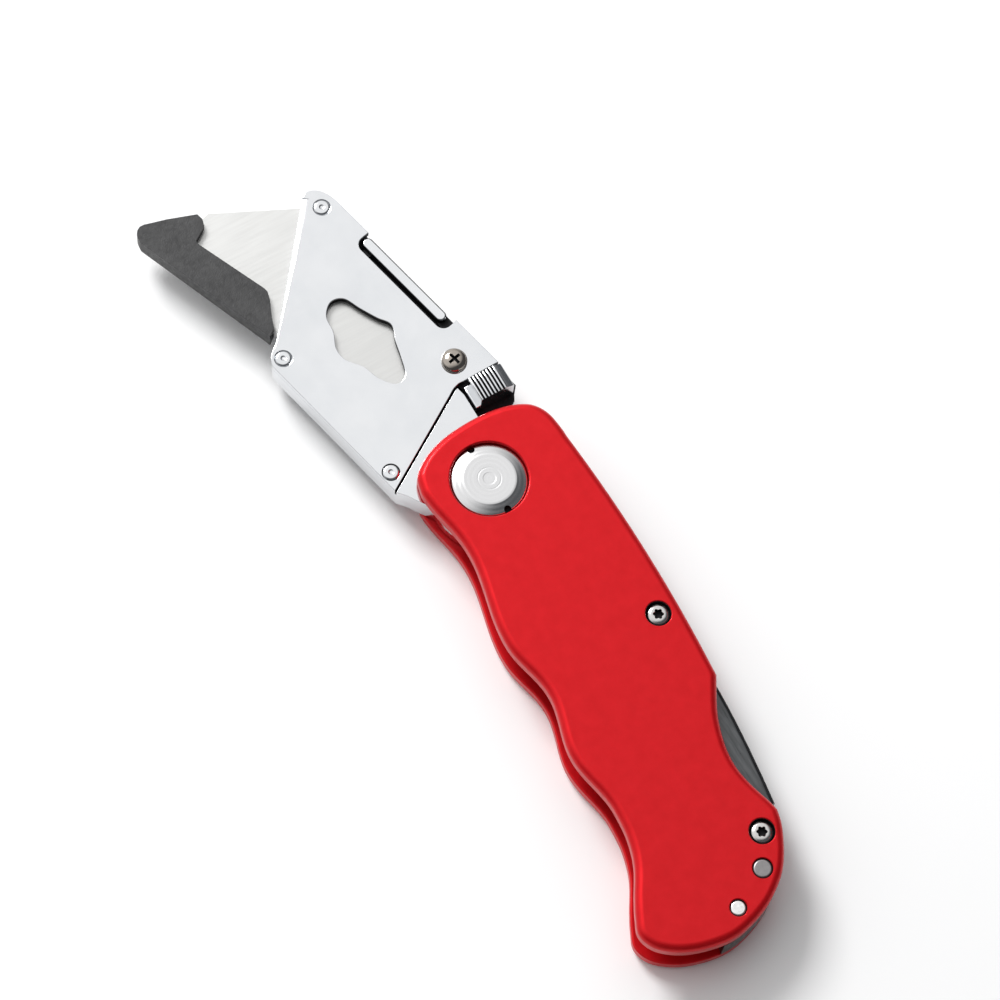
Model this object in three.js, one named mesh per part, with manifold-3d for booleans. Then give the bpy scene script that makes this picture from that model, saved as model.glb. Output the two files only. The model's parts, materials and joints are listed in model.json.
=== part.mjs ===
// Folding lock-back utility knife, lying flat on its rear scale with the head open.
// Millimetres. +X runs forward to the blade tip, +Y to the cutting edge, +Z up out of the
// side that carries the screw heads. Every piece is drawn about the pivot axis, and the
// whole knife is then moved so that the centre of its base is the origin.
import * as THREE from 'three';
import { mergeVertices } from 'three/addons/utils/BufferGeometryUtils.js';
import Module from 'manifold-3d';

const wasm = await Module();
wasm.setup();

// ---- driving dimensions -----------------------------------------------------------------

// Fits
const SLIP = 0.05;            // running clearance on each side of a moving face
const FIT_GAP = 0.3;          // clearance round pieces that move sideways or slide out
const SHAFT_PLAY = 0.05;      // radial clearance of a shaft in its hole
const SEAT_PLAY = 0.2;        // radial clearance of a head in its counterbore

// Stack across the knife
const SCALE_T = 3.1;          // one handle scale
const CHANNEL_T = 5.6;        // space between the scales
const WASHER_T = 0.25;
const HEAD_T = CHANNEL_T - 2 * (WASHER_T + SLIP);      // blade head
const PLATE_T = 1.2;          // cover plate of the head
const BLADE_T = 0.6;
const GUARD_T = 3.4;
const EDGE_R = 1.05;          // rounded outer edge of the scales

// Handle outline about the pivot
const HANDLE_REACH = 82;      // pivot to the butt
const FRONT_REACH = 10.3;     // pivot to the front edge
const SPINE_H = 14.5;         // pivot line to the ends of the spine
const SPINE_CROWN = 1.05;     // how far the spine bows out between its ends
const BELLY_H = 10.4;         // pivot line to the front end of the belly
const BUTT_DROP = 17.6;       // pivot line to the lowest point of the butt hook
const NOTCH_L = 23;           // thumb notch
const NOTCH_TO = HANDLE_REACH - 13.8;         // its rear end, behind the pivot
const NOTCH_FROM = NOTCH_TO - NOTCH_L;        // its front end, behind the pivot
const NOTCH_FLOOR = SPINE_H - 5.25;           // pivot line to the floor of the thumb notch

// Pivot
const PIVOT_R = 3.0;
const DISC_R = 6.05;
const DISC_T = 2.0;
const DISC_BEVEL = 1.7;
const DISC_SEAT = 2.1;        // depth of its counterbore
const DISC_NOTCH = 0.9;       // spanner notches in the rim
const DISC_PROUD = 0.1;       // disc above the face of the front scale
const DISC_RIM = 0.75;        // height of the bevel
const DISC_SHOULDER = 0.25;   // drop from the top to the middle of the bevel
const NUT_SUNK = 0.1;         // disc nut below the face of the rear scale
const WASHER_R = 6.6;
const NUT_BORE_R = 2.0;

// Handle fasteners
const SCREW_HEAD_R = 1.85;
const SCREW_HEAD_T = 1.2;
const SCREW_SINK = 0.35;      // head below the face of the scale
const SCREW_BEVEL = 0.3;
const SCREW_R = 1.2;
const SOCKET_R = 1.15;        // six-lobed driver socket
const SOCKET_DEPTH = 0.8;
const SLEEVE_R = 1.8;
const LARGE_PIN_R = 1.55;
const SMALL_PIN_R = 1.3;
const PIN_SINK = 0.15;        // pin ends below the face of the scale
const LOCK_PIVOT = [12.9 - NOTCH_FROM, 2.9 - SPINE_H];
const BUTT_SCREW = [11.9 - HANDLE_REACH, -7.1];
const LARGE_PIN = [6.9 - HANDLE_REACH, -4.1];
const SMALL_PIN = [3.5 - HANDLE_REACH, 2.4];

// Backspacer
const SPACER_FRONT = HANDLE_REACH - 14.7;     // front face, behind the pivot
const SPACER_WEB = 5.2;                       // thickness at the butt

// Lock bar and its leaf spring
const TANG_R = 9.2;                           // radius of the head's tang
const BAR_FRONT = 1.0;                        // front end, forward of the pivot
const BAR_BACK = SPACER_FRONT - 0.6;          // rear end, behind the pivot
const BAR_INSET = 0.15;                       // outer edge below the spine
const BAR_TAIL_H = SPINE_H - 2.4;             // height of the outer edge at the rear end
const BAR_INNER_H = TANG_R - 1.2;             // height of its inner edge
const BAR_NECK_H = TANG_R + FIT_GAP + 1;      // height of its inner edge near the tang
const TOOTH_BACK = 5.6;                       // rear of the lock tooth, behind the pivot
const LEAF_T = 0.6;
const LEAF_W = 4.4;
const LEAF_L = 17.3;                          // length that stands free
const LEAF_TIP = SPACER_FRONT - LEAF_L;       // free end, behind the pivot
const LEAF_SEAT = 1.4;                        // length held in the backspacer
const LEAF_ROOT_Y = 1.7 - BAR_INNER_H;
const LEAF_TIP_Y = LEAF_T + FIT_GAP - BAR_INNER_H;

// Blade: a standard trapezoid, placed along the head's own axis u with v to the cutting edge
const BLADE_L = 61;
const BLADE_W = 19;
const BLADE_RUN = 14.9;                       // how far each slanted end runs back
const BLADE_TAIL_U = 9.5;
const BLADE_TIP_U = BLADE_TAIL_U + BLADE_L;   // where the sharp corner would be
const BLADE_EDGE_V = 7.15;
const BLADE_BEVEL = 1.4;
const BLUNT = [[5.1, 4.55], [3.0, 1.05], [2.9, 0]];   // blunt corner, in from the sharp one
const BLUNT_FROM = 6.3;                       // where it leaves the slanted end
const BLADE_NOTCH_W = 2.7;
const BLADE_NOTCH_D = 2.3;
const BLADE_NOTCH_PITCH = 6.2;

// Head
const HEAD_ANGLE = 12.9;                      // head axis against the handle axis when open
const BLADE_BACK_V = BLADE_EDGE_V - BLADE_W;
const HEAD_BACK_V = BLADE_BACK_V - 4.05;      // spine side of the head
const HEAD_EDGE_V = BLADE_EDGE_V + 4.35;      // edge side of the head
const HEAD_NOSE_U = BLADE_TIP_U - 13.2;       // foremost point
const PLATE_REAR_U = 9.0;                     // rear corner of the plate on the edge side
const PLATE_GAP = 0.38;                       // seam between plate and tang
const TOOTH_U = BLADE_TIP_U - (BLADE_L - BLADE_NOTCH_PITCH) / 2;   // front notch of the blade
const SLOT_FROM = 24.3;                       // open slot in the spine side of the plate
const SLOT_TO = TOOTH_U + 2.1;
const SLOT_DEPTH = 3.0;
const WINDOW_FROM = 22.7;                     // window in the plate
const WINDOW_TO = HEAD_NOSE_U - 17.1;
const RIVET_R = 1.4;
const RIVET_RING = 0.12;                      // open ring round each rivet head
const RIVET_DOME = 0.15;
const RIVETS = {
  rivet_front: [HEAD_NOSE_U - 3.7, HEAD_BACK_V + 2.6],
  rivet_edge: [HEAD_NOSE_U - 19.3, HEAD_EDGE_V - 2.2],
  rivet_rear: [PLATE_REAR_U + 3.1, HEAD_EDGE_V - 1.7],
};

// Blade release lever
const LEVER_PIVOT = [19.3, HEAD_BACK_V + 5.2];
const LEVER_SCREW_R = 1.25;
const LEVER_HEAD_R = 2.1;
const LEVER_HEAD_T = 1.25;
const LEVER_BASE_T = 0.75;
const LEVER_BOSS_R = 2.4;
const RAIL_W = 1.8;
const RAIL_REAR_GAP = 1.5;
const RAIL_SINK = 0.25;       // rail and tab below the face of the plate
const TOOTH_W = 1.6;          // tooth that faces the blade's notch
const BUTTON_AT = [12.2, HEAD_BACK_V + 3.9];
const BUTTON_L = 4.3;
const BUTTON_W = 6.1;
const BUTTON_H = 2.4;         // above the plate
const RIB_COUNT = 8;
const RIB_SPAN = 4.9;         // width of the ribbed part, from the edge side
const RIB_DEPTH = 0.35;
const WELL_REACH = 4.3;       // how far the button's well runs back under the scale
const TAB_W = 0.8;
const LEVER_SWING = 0.55;     // room for the button's side to swing

// Derived heights
const TOTAL_T = 2 * SCALE_T + CHANNEL_T;
const Z_REAR = SCALE_T;                                // inner face of the rear scale
const Z_FRONT = SCALE_T + CHANNEL_T;                   // inner face of the front scale
const Z_HEAD = Z_REAR + (CHANNEL_T - HEAD_T) / 2;      // rear face of the head
const Z_TOP = Z_HEAD + HEAD_T;                         // front face of the head
const Z_PLATE = Z_TOP - PLATE_T;                       // seat of the cover plate
const POCKET_D = BLADE_T + 4 * SLIP + FIT_GAP / 2;     // blade pocket
const Z_POCKET = Z_PLATE - POCKET_D;
const Z_BLADE = Z_PLATE - (POCKET_D + BLADE_T) / 2;
const Z_GUARD = Z_TOP - GUARD_T;

const OVER = 1;               // how far a cutting tool runs past what it cuts
const ROUND = 40;             // facets on a large round face
const SMALL_ROUND = 24;
const radians = THREE.MathUtils.degToRad;

// ---- solids -----------------------------------------------------------------------------

function toSolid(geometry) {
  const bare = geometry.clone();
  bare.deleteAttribute('normal');
  bare.deleteAttribute('uv');
  const merged = mergeVertices(bare, 1e-4);
  const index = merged.index.array;
  const corners = [];
  for (let i = 0; i < index.length; i += 3) {
    const [a, b, c] = [index[i], index[i + 1], index[i + 2]];
    if (a !== b && b !== c && c !== a) corners.push(a, b, c);
  }
  return new wasm.Manifold(new wasm.Mesh({
    numProp: 3,
    vertProperties: new Float32Array(merged.attributes.position.array),
    triVerts: new Uint32Array(corners),
  }));
}

function toGeometry(solid) {
  const mesh = solid.getMesh();
  const indexed = new THREE.BufferGeometry();
  indexed.setAttribute('position', new THREE.BufferAttribute(mesh.vertProperties, 3));
  indexed.setIndex(new THREE.BufferAttribute(mesh.triVerts, 1));
  const geometry = indexed.toNonIndexed();
  geometry.computeVertexNormals();
  return geometry;
}

const join = (first, ...rest) => rest.reduce((whole, piece) => whole.add(piece), first);
const cut = (first, ...tools) => tools.reduce((whole, tool) => whole.subtract(tool), first);

function outline(points) {
  return new THREE.Shape(points.map(([x, y]) => new THREE.Vector2(x, y)));
}

// A flat shape extruded from z0 to z1.
function slab(shape, z0, z1) {
  const geometry = new THREE.ExtrudeGeometry(shape, {
    depth: z1 - z0, bevelEnabled: false, curveSegments: 12,
  });
  return toSolid(geometry.translate(0, 0, z0));
}

function rod([x, y], radius, z0, z1, facets = SMALL_ROUND) {
  const geometry = new THREE.CylinderGeometry(radius, radius, z1 - z0, facets);
  return toSolid(geometry.rotateX(Math.PI / 2).translate(x, y, (z0 + z1) / 2));
}

// A turned solid from a list of [radius, z] that starts and ends on the axis.
function turned([x, y], profile, facets = ROUND) {
  const points = profile.map(([radius, z]) => new THREE.Vector2(radius, z));
  const geometry = new THREE.LatheGeometry(points, facets);
  return toSolid(geometry.rotateX(Math.PI / 2).translate(x, y, 0));
}

function block([x0, y0, z0], [x1, y1, z1]) {
  const geometry = new THREE.BoxGeometry(x1 - x0, y1 - y0, z1 - z0);
  return toSolid(geometry.translate((x0 + x1) / 2, (y0 + y1) / 2, (z0 + z1) / 2));
}

function arc(radius, fromDeg, toDeg, steps, [x, y] = [0, 0]) {
  return Array.from({ length: steps + 1 }, (_, i) => {
    const angle = radians(fromDeg + (toDeg - fromDeg) * i / steps);
    return [x + radius * Math.cos(angle), y + radius * Math.sin(angle)];
  });
}

function smoothThrough(points, steps) {
  const curve = new THREE.SplineCurve(points.map(([x, y]) => new THREE.Vector2(x, y)));
  return curve.getSpacedPoints(steps).map((p) => [p.x, p.y]);
}

// ---- materials --------------------------------------------------------------------------

function metal(colour, roughness, metalness) {
  return () => new THREE.MeshStandardMaterial({ color: colour, roughness, metalness });
}

const redAnodised = metal(0xc8202a, 0.35, 0.4);
const chrome = metal(0xe4e6ea, 0.15, 1.0);
const darkSteel = metal(0x4a4c50, 0.35, 0.9);
const brightSteel = metal(0xc9ccd0, 0.25, 1.0);
const bladeSteel = metal(0xb8bcc0, 0.3, 1.0);
const blackPlastic = metal(0x2b2c2e, 0.6, 0.0);

// ---- scene graph ------------------------------------------------------------------------

const knife = new THREE.Group();
const handle = new THREE.Group();
const lockBar = new THREE.Group();
const head = new THREE.Group();
knife.add(handle, lockBar, head);
head.rotation.z = radians(HEAD_ANGLE);

function place(group, name, solid, material) {
  const mesh = new THREE.Mesh(toGeometry(solid), material());
  mesh.name = name;
  group.add(mesh);
}

// A point of the handle seen along the head's own axes.
function inHead([x, y]) {
  const angle = radians(HEAD_ANGLE);
  return [x * Math.cos(angle) + y * Math.sin(angle), y * Math.cos(angle) - x * Math.sin(angle)];
}

// ---- handle -----------------------------------------------------------------------------

const SPINE_MID = (NOTCH_FROM - 3.2) / 2;
const SPINE_HALF = SPINE_MID + 2.5;

function spineY(x) {
  const share = (x + SPINE_MID) / SPINE_HALF;
  return -(SPINE_H + SPINE_CROWN * (1 - share * share));
}

// Crests and troughs of the finger grips: shares of the reach behind the pivot and of the
// belly's height at its front.
const GRIP = [
  [-0.04, 1], [0.1, 0.856], [0.305, 1.106], [0.425, 0.952], [0.56, 1.163], [0.68, 1.029],
];

// The grip swings from each crest to the next trough along a half cosine wave.
function gripLine() {
  const points = [];
  for (let i = 0; i + 1 < GRIP.length; i += 1) {
    const [[s0, y0], [s1, y1]] = [GRIP[i], GRIP[i + 1]];
    for (let step = 0; step < 8; step += 1) {
      const t = step / 8;
      const ease = (1 - Math.cos(Math.PI * t)) / 2;
      points.push([-HANDLE_REACH * (s0 + (s1 - s0) * t), BELLY_H * (y0 + (y1 - y0) * ease)]);
    }
  }
  return points;
}

// Front edge from the spine to the belly, as shares of its reach and of either height.
const FRONT = [
  [0.14, -1.012], [0.33, -1.0], [0.485, -0.98], [0.63, -0.938], [0.757, -0.87],
  [0.84, -0.787], [0.9, -0.69], [0.952, -0.566], [0.988, -0.4], [1, -0.22], [0.988, -0.03],
  [0.95, 0.25], [0.862, 0.54], [0.73, 0.78], [0.575, 0.93], [0.318, 1],
];

function frontCurve() {
  const points = FRONT.map(([x, y]) => [FRONT_REACH * x, y * (y < 0 ? SPINE_H : BELLY_H)]);
  return smoothThrough(points, 26);
}

// Butt hook from the last grip round to the end of the thumb notch.
function buttCurve() {
  const reach = HANDLE_REACH;
  const start = GRIP[GRIP.length - 1];
  const drop = (share) => BELLY_H * start[1] + (BUTT_DROP - BELLY_H * start[1]) * share;
  return smoothThrough([
    [-start[0] * reach, drop(0)], [-0.735 * reach, drop(0.058)], [-0.79 * reach, drop(0.261)],
    [-0.845 * reach, drop(0.652)], [5.6 - 0.945 * reach, drop(0.855)], [7.5 - reach, BUTT_DROP],
    [4.8 - reach, drop(0.87)], [2.6 - reach, drop(0.522)], [1 - reach, drop(0.043)],
    [-reach, 6.6], [0.15 - reach, 3], [1.7 - reach, -1.8], [4.4 - reach, -5.9],
    [7.3 - reach, -8.35], [-NOTCH_TO - 2.6, -10.45], [-NOTCH_TO, 3.3 - SPINE_H],
  ], 44);
}

function notchCurve() {
  const middle = (NOTCH_FROM + NOTCH_TO) / 2;
  const width = NOTCH_TO - NOTCH_FROM;
  return smoothThrough([
    [-NOTCH_TO, 3.3 - SPINE_H], [-NOTCH_TO + 1.7, -NOTCH_FLOOR - 1.6],
    [-middle - 0.26 * width, -NOTCH_FLOOR - 0.6],
    [-middle - 0.1 * width, -NOTCH_FLOOR], [-middle + 0.07 * width, -NOTCH_FLOOR - 0.5],
    [-middle + 0.27 * width, -NOTCH_FLOOR - 2.2], [-NOTCH_FROM, spineY(-NOTCH_FROM)],
  ], 16);
}

function spineLine(from, to, inset, steps) {
  return Array.from({ length: steps + 1 }, (_, i) => {
    const x = from + (to - from) * i / steps;
    return [x, spineY(x) + inset];
  });
}

function handleOutline() {
  const belly = gripLine();
  return outline([
    ...spineLine(-NOTCH_FROM, 0.4, 0, 18), ...frontCurve().slice(0, -1), ...belly,
    ...buttCurve().slice(0, -1), ...notchCurve().slice(0, -1),
  ]);
}

// A scale with its outer edge rounded; z0 is the inner face and it grows towards +Z.
function scaleBlank(z0) {
  const geometry = new THREE.ExtrudeGeometry(handleOutline(), {
    depth: SCALE_T, bevelEnabled: true, bevelThickness: EDGE_R, bevelSize: EDGE_R,
    bevelOffset: -EDGE_R, bevelSegments: 4,
  });
  const rounded = toSolid(geometry.translate(0, 0, z0 - EDGE_R));
  const reach = 2 * HANDLE_REACH;
  return rounded.subtract(block([-reach, -reach, z0 - 2 * EDGE_R - OVER], [reach, reach, z0]));
}

function scaleHoles(z0) {
  const top = z0 + SCALE_T;
  const seat = (at, radius, depth) => rod(at, radius, top - depth, top + OVER, ROUND);
  const bore = (at, radius) => rod(at, radius, z0 - OVER, top + OVER);
  const screwSeat = SCREW_HEAD_R + SEAT_PLAY;
  return [
    seat([0, 0], DISC_R + 2 * SEAT_PLAY, DISC_SEAT),
    bore([0, 0], PIVOT_R + SHAFT_PLAY),
    ...[LOCK_PIVOT, BUTT_SCREW].flatMap((at) => [
      seat(at, screwSeat, SCREW_SINK + SCREW_HEAD_T),
      bore(at, SCREW_R + SHAFT_PLAY),
    ]),
    bore(LARGE_PIN, LARGE_PIN_R + SHAFT_PLAY),
    bore(SMALL_PIN, SMALL_PIN_R + SHAFT_PLAY),
  ];
}

const mirrored = (solid) => solid.mirror([0, 0, 1]).translate([0, 0, TOTAL_T]);

const frontScale = cut(scaleBlank(Z_FRONT), ...scaleHoles(Z_FRONT));
place(handle, 'front_scale', frontScale, redAnodised);
place(handle, 'rear_scale', mirrored(frontScale), redAnodised);

// The backspacer follows the butt between the scales and stops short of the belly.
function spacerRegion() {
  const reach = HANDLE_REACH;
  const inner = reach - SPACER_WEB;
  return outline([
    [-SPACER_FRONT, -2 * SPINE_H], [-SPACER_FRONT, LEAF_ROOT_Y + 1.4],
    [11.4 - reach, LEAF_ROOT_Y + 2.1], [9.1 - reach, -2.2], [6.8 - reach, 0.6], [-inner, 3.2],
    [-inner, 5.2], [-reach - OVER, 6.9], [-reach - OVER, -2 * SPINE_H],
  ]);
}

function leafShape(grow, seat) {
  const half = LEAF_T / 2 + grow;
  return outline([
    [-SPACER_FRONT - seat, LEAF_ROOT_Y - half], [-SPACER_FRONT + 3, LEAF_ROOT_Y - half],
    [-LEAF_TIP, LEAF_TIP_Y - half], [-LEAF_TIP, LEAF_TIP_Y + half],
    [-SPACER_FRONT + 3, LEAF_ROOT_Y + half], [-SPACER_FRONT - seat, LEAF_ROOT_Y + half],
  ]);
}

const zMid = TOTAL_T / 2;
const spacerBlank = slab(handleOutline(), Z_REAR, Z_FRONT);
const spacerHoles = [
  rod(BUTT_SCREW, SCREW_R + SHAFT_PLAY, 0, TOTAL_T),
  rod(LARGE_PIN, LARGE_PIN_R + SHAFT_PLAY, 0, TOTAL_T),
  rod(SMALL_PIN, SMALL_PIN_R + SHAFT_PLAY, 0, TOTAL_T),
  slab(leafShape(2 * SHAFT_PLAY, LEAF_SEAT + SHAFT_PLAY), Z_REAR - OVER, Z_FRONT + OVER),
];
const spacer = spacerBlank.intersect(slab(spacerRegion(), Z_REAR - OVER, Z_FRONT + OVER));
place(handle, 'backspacer', cut(spacer, ...spacerHoles), darkSteel);
place(handle, 'lock_spring',
  slab(leafShape(0, LEAF_SEAT), zMid - LEAF_W / 2, zMid + LEAF_W / 2), brightSteel);

// Pivot: a wide bevelled disc with a shank, a matching disc nut and two thin washers.
function discNotches(z0, z1) {
  const rim = DISC_R - DISC_NOTCH / 2;
  return [rod([rim, 0], DISC_NOTCH, z0, z1, 16), rod([-rim, 0], DISC_NOTCH, z0, z1, 16)];
}

// Bevelled rim of a disc whose outer face is at z; side is +1 when that face looks up.
function discRim(z, side) {
  return [
    [DISC_R, z - side * DISC_RIM], [DISC_R - DISC_BEVEL / 2, z - side * DISC_SHOULDER],
    [DISC_R - DISC_BEVEL, z],
  ];
}

function pivotBolt() {
  const top = TOTAL_T + DISC_PROUD;
  const under = top - DISC_T;
  const end = NUT_SUNK + SEAT_PLAY;
  const body = turned([0, 0], [
    [0, end], [NUT_BORE_R, end], [NUT_BORE_R, DISC_SEAT + SLIP], [PIVOT_R, DISC_SEAT + SLIP],
    [PIVOT_R, under], [DISC_R, under], ...discRim(top, 1), [0, top],
  ]);
  return cut(body, ...discNotches(top - DISC_T * 0.75, top + OVER));
}

function pivotNut() {
  const inner = DISC_SEAT - SLIP;
  const body = turned([0, 0], [
    [0, NUT_SUNK], ...discRim(NUT_SUNK, -1).reverse(), [DISC_R, inner], [0, inner],
  ]);
  const bore = rod([0, 0], NUT_BORE_R + SHAFT_PLAY, -OVER, inner + OVER);
  return cut(body, bore, ...discNotches(-OVER, DISC_T * 0.75));
}

place(handle, 'pivot_bolt', pivotBolt(), chrome);
place(handle, 'pivot_nut', pivotNut(), chrome);

function washer(z0, z1) {
  const bore = rod([0, 0], PIVOT_R + 2 * SHAFT_PLAY, z0 - OVER, z1 + OVER);
  return cut(rod([0, 0], WASHER_R, z0, z1, ROUND), bore);
}

place(handle, 'front_washer', washer(Z_TOP + SLIP, Z_FRONT), brightSteel);
place(handle, 'rear_washer', washer(Z_REAR, Z_HEAD - SLIP), brightSteel);

// Screws: a socket-headed screw from the front meets a threaded nut from the rear.
function socket([x, y], z0, z1) {
  const lobes = Array.from({ length: 36 }, (_, i) => {
    const angle = 2 * Math.PI * i / 36;
    const radius = SOCKET_R * (0.86 + 0.14 * Math.cos(6 * angle));
    return [x + radius * Math.cos(angle), y + radius * Math.sin(angle)];
  });
  return slab(outline(lobes), z0, z1);
}

function headProfile(shankR, shankEnd) {
  const top = TOTAL_T - SCREW_SINK;
  return [
    [0, shankEnd], [shankR, shankEnd], [shankR, top - SCREW_HEAD_T],
    [SCREW_HEAD_R, top - SCREW_HEAD_T], [SCREW_HEAD_R, top - SCREW_BEVEL],
    [SCREW_HEAD_R - SCREW_BEVEL, top], [0, top],
  ];
}

function handleScrew(at) {
  const top = TOTAL_T - SCREW_SINK;
  return cut(turned(at, headProfile(SCREW_R, SCALE_T - 0.6), SMALL_ROUND),
    socket(at, top - SOCKET_DEPTH, top + OVER));
}

function handleNut(at) {
  const rearHead = turned(at, headProfile(SCREW_R, TOTAL_T - SCALE_T + 0.7), SMALL_ROUND);
  const top = TOTAL_T - SCREW_SINK;
  return mirrored(cut(rearHead, socket(at, top - SOCKET_DEPTH, top + OVER)));
}

place(handle, 'lock_pivot_screw', handleScrew(LOCK_PIVOT), brightSteel);
place(handle, 'lock_pivot_nut', handleNut(LOCK_PIVOT), brightSteel);
place(handle, 'butt_screw', handleScrew(BUTT_SCREW), brightSteel);
place(handle, 'butt_nut', handleNut(BUTT_SCREW), brightSteel);
place(handle, 'lock_pivot_sleeve', cut(rod(LOCK_PIVOT, SLEEVE_R, Z_REAR, Z_FRONT),
  rod(LOCK_PIVOT, SCREW_R + SHAFT_PLAY, 0, TOTAL_T)), brightSteel);

function pin(at, radius) {
  const [low, high] = [PIN_SINK, TOTAL_T - PIN_SINK];
  return turned(at, [
    [0, low], [radius - 0.25, low], [radius, low + 0.25], [radius, high - 0.25],
    [radius - 0.25, high], [0, high],
  ], SMALL_ROUND);
}

place(handle, 'butt_pin_large', pin(LARGE_PIN, LARGE_PIN_R), brightSteel);
place(handle, 'butt_pin_small', pin(SMALL_PIN, SMALL_PIN_R), brightSteel);

// ---- lock bar ---------------------------------------------------------------------------

// Outer edge of the bar across the thumb notch, in an even curve down to its rear end.
function barTail() {
  const [from, to] = [spineY(-NOTCH_FROM) + BAR_INSET, -BAR_TAIL_H];
  return Array.from({ length: 9 }, (_, i) => {
    const share = i / 9;
    const rise = 1 - (1 - share) ** 1.5;
    return [-BAR_BACK + (BAR_BACK - NOTCH_FROM) * share, to + (from - to) * rise];
  });
}

// The tooth ends on an arc round the tang, one fit gap outside it.
function barOutline() {
  const toothArc = arc(TANG_R + FIT_GAP, 270 - 30, 270 + 6, 8)
    .filter(([x]) => x > -TOOTH_BACK + 0.6 && x < BAR_FRONT - 0.2);
  const [pivotX] = LOCK_PIVOT;
  return outline([
    ...spineLine(-NOTCH_FROM, BAR_FRONT - 1, BAR_INSET, 16),
    [BAR_FRONT, spineY(BAR_FRONT) + 1],
    [BAR_FRONT, -TANG_R - FIT_GAP - 0.3],
    ...toothArc.reverse(),
    [-TOOTH_BACK, -BAR_NECK_H + 0.2], [-TOOTH_BACK - 0.9, -BAR_NECK_H],
    [pivotX + 18.3, -BAR_NECK_H], [pivotX + 13.3, -BAR_NECK_H + 0.8],
    [pivotX + 7.3, -BAR_INNER_H - 0.6], [pivotX + 4.3, -BAR_INNER_H],
    [-BAR_BACK, -BAR_INNER_H], ...barTail(),
  ]);
}

const bar = slab(barOutline(), Z_REAR + SLIP, Z_FRONT - SLIP);
place(lockBar, 'lock_bar', cut(bar, rod(LOCK_PIVOT, SLEEVE_R + SHAFT_PLAY, 0, TOTAL_T)), darkSteel);

// ---- head -------------------------------------------------------------------------------

// Front of the head: a round nose at the spine side, then a straight slanted edge.
function noseLine() {
  const [u, v] = [HEAD_NOSE_U, HEAD_BACK_V];
  return [
    ...smoothThrough([
      [u - 4.7, v], [u - 2.7, v + 0.25], [u - 0.9, v + 1.1], [u, v + 2.5], [u - 0.4, v + 4],
      [u - 1.4, v + 5.2],
    ], 8),
    [u - 16.4, HEAD_EDGE_V - 3.3], [u - 17.3, HEAD_EDGE_V - 1.5], [u - 18.1, HEAD_EDGE_V - 0.6],
    [u - 19.4, HEAD_EDGE_V],
  ];
}

function headOutline() {
  const clear = BAR_FRONT + FIT_GAP;
  const v = HEAD_BACK_V;
  const [tangSide, spineSide] = [[clear + 0.1, -TANG_R], [clear + 0.4, 0.7 - SPINE_H]].map(inHead);
  return outline([
    [3.5, v + 3], [6.4, v + 3], [8, v + 2.9], [8.3, v + 2.1], [9.3, v + 1.2], [10.2, v],
    ...noseLine(),
    [PLATE_REAR_U, HEAD_EDGE_V], [7.4, HEAD_EDGE_V - 0.9], [5.4, HEAD_EDGE_V - 1.6],
    ...arc(TANG_R, 72, 240, 20), ...arc(TANG_R - 1.3, 243, 252, 2),
    ...arc(TANG_R, 254, 262, 2).slice(1), tangSide, spineSide,
  ]);
}

// Rear edge of the cover plate, from the edge side up to the spine side.
const buttonFront = BUTTON_AT[0] + BUTTON_L / 2;
const buttonSide = BUTTON_AT[1] + BUTTON_W / 2;
const PLATE_REAR = [
  [PLATE_REAR_U, HEAD_EDGE_V], [buttonFront + 0.65, buttonSide + 2.95],
  [buttonFront + 1.15, buttonSide + 1.55], [buttonFront + 1.25, buttonSide + 0.35],
  [buttonFront - 0.25, HEAD_BACK_V],
];

function plateOutline() {
  const slotFloor = HEAD_BACK_V + SLOT_DEPTH;
  const radius = SLOT_DEPTH / 2;
  const rearEnd = arc(radius, 180, 90, 6, [SLOT_FROM + radius, slotFloor - radius]);
  const frontEnd = arc(radius, 90, 0, 6, [SLOT_TO - radius, slotFloor - radius]);
  const rear = PLATE_REAR.map(([u, v]) => [u + PLATE_GAP, v]);
  return outline([
    [SLOT_FROM, HEAD_BACK_V], ...rearEnd, ...frontEnd, [SLOT_TO, HEAD_BACK_V],
    ...noseLine(), ...rear,
  ]);
}

// Window in the plate: a wavy outline through its lobes and waists, as shares of its length
// and heights about the head's axis.
function windowOutline() {
  const lobes = [
    [1, -3.0], [0.943, -5.0], [0.771, -5.8], [0.6, -6.7], [0.463, -7.6], [0.326, -6.2],
    [0.166, -4.9], [0.011, -3.3], [0, -1.2], [0.143, 0.2], [0.326, 0.7], [0.486, 2.0],
    [0.623, 1.8], [0.76, 0.2], [0.92, -0.8],
  ];
  const length = WINDOW_TO - WINDOW_FROM;
  const curve = new THREE.CatmullRomCurve3(
    lobes.map(([share, v]) => new THREE.Vector3(WINDOW_FROM + length * share, v, 0)),
    true, 'centripetal');
  return outline(curve.getSpacedPoints(56).slice(0, -1).map((p) => [p.x, p.y]));
}

// One slanted end of the blade from its back to the edge, as steps in from the sharp
// corner. A pocket is the same end grown outwards.
function bladeEnd(grow) {
  const slant = BLADE_RUN / BLADE_W;
  const steps = [[BLADE_RUN, BLADE_W + grow], [slant * BLUNT_FROM, BLUNT_FROM], ...BLUNT];
  return steps.map(([along, across]) => [along - grow, across > 0 ? across : -grow]);
}

// The blade, or its pocket when grown: a trapezoid with both corners blunt.
function bladeOutline(grow, frontReach = 0) {
  const front = bladeEnd(grow).map(([a, b]) => [BLADE_TIP_U - a + frontReach, BLADE_EDGE_V - b]);
  const tail = bladeEnd(grow).map(([a, b]) => [BLADE_TIP_U - BLADE_L + a, BLADE_EDGE_V - b]);
  return outline([...front, ...tail.reverse()]);
}

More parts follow.
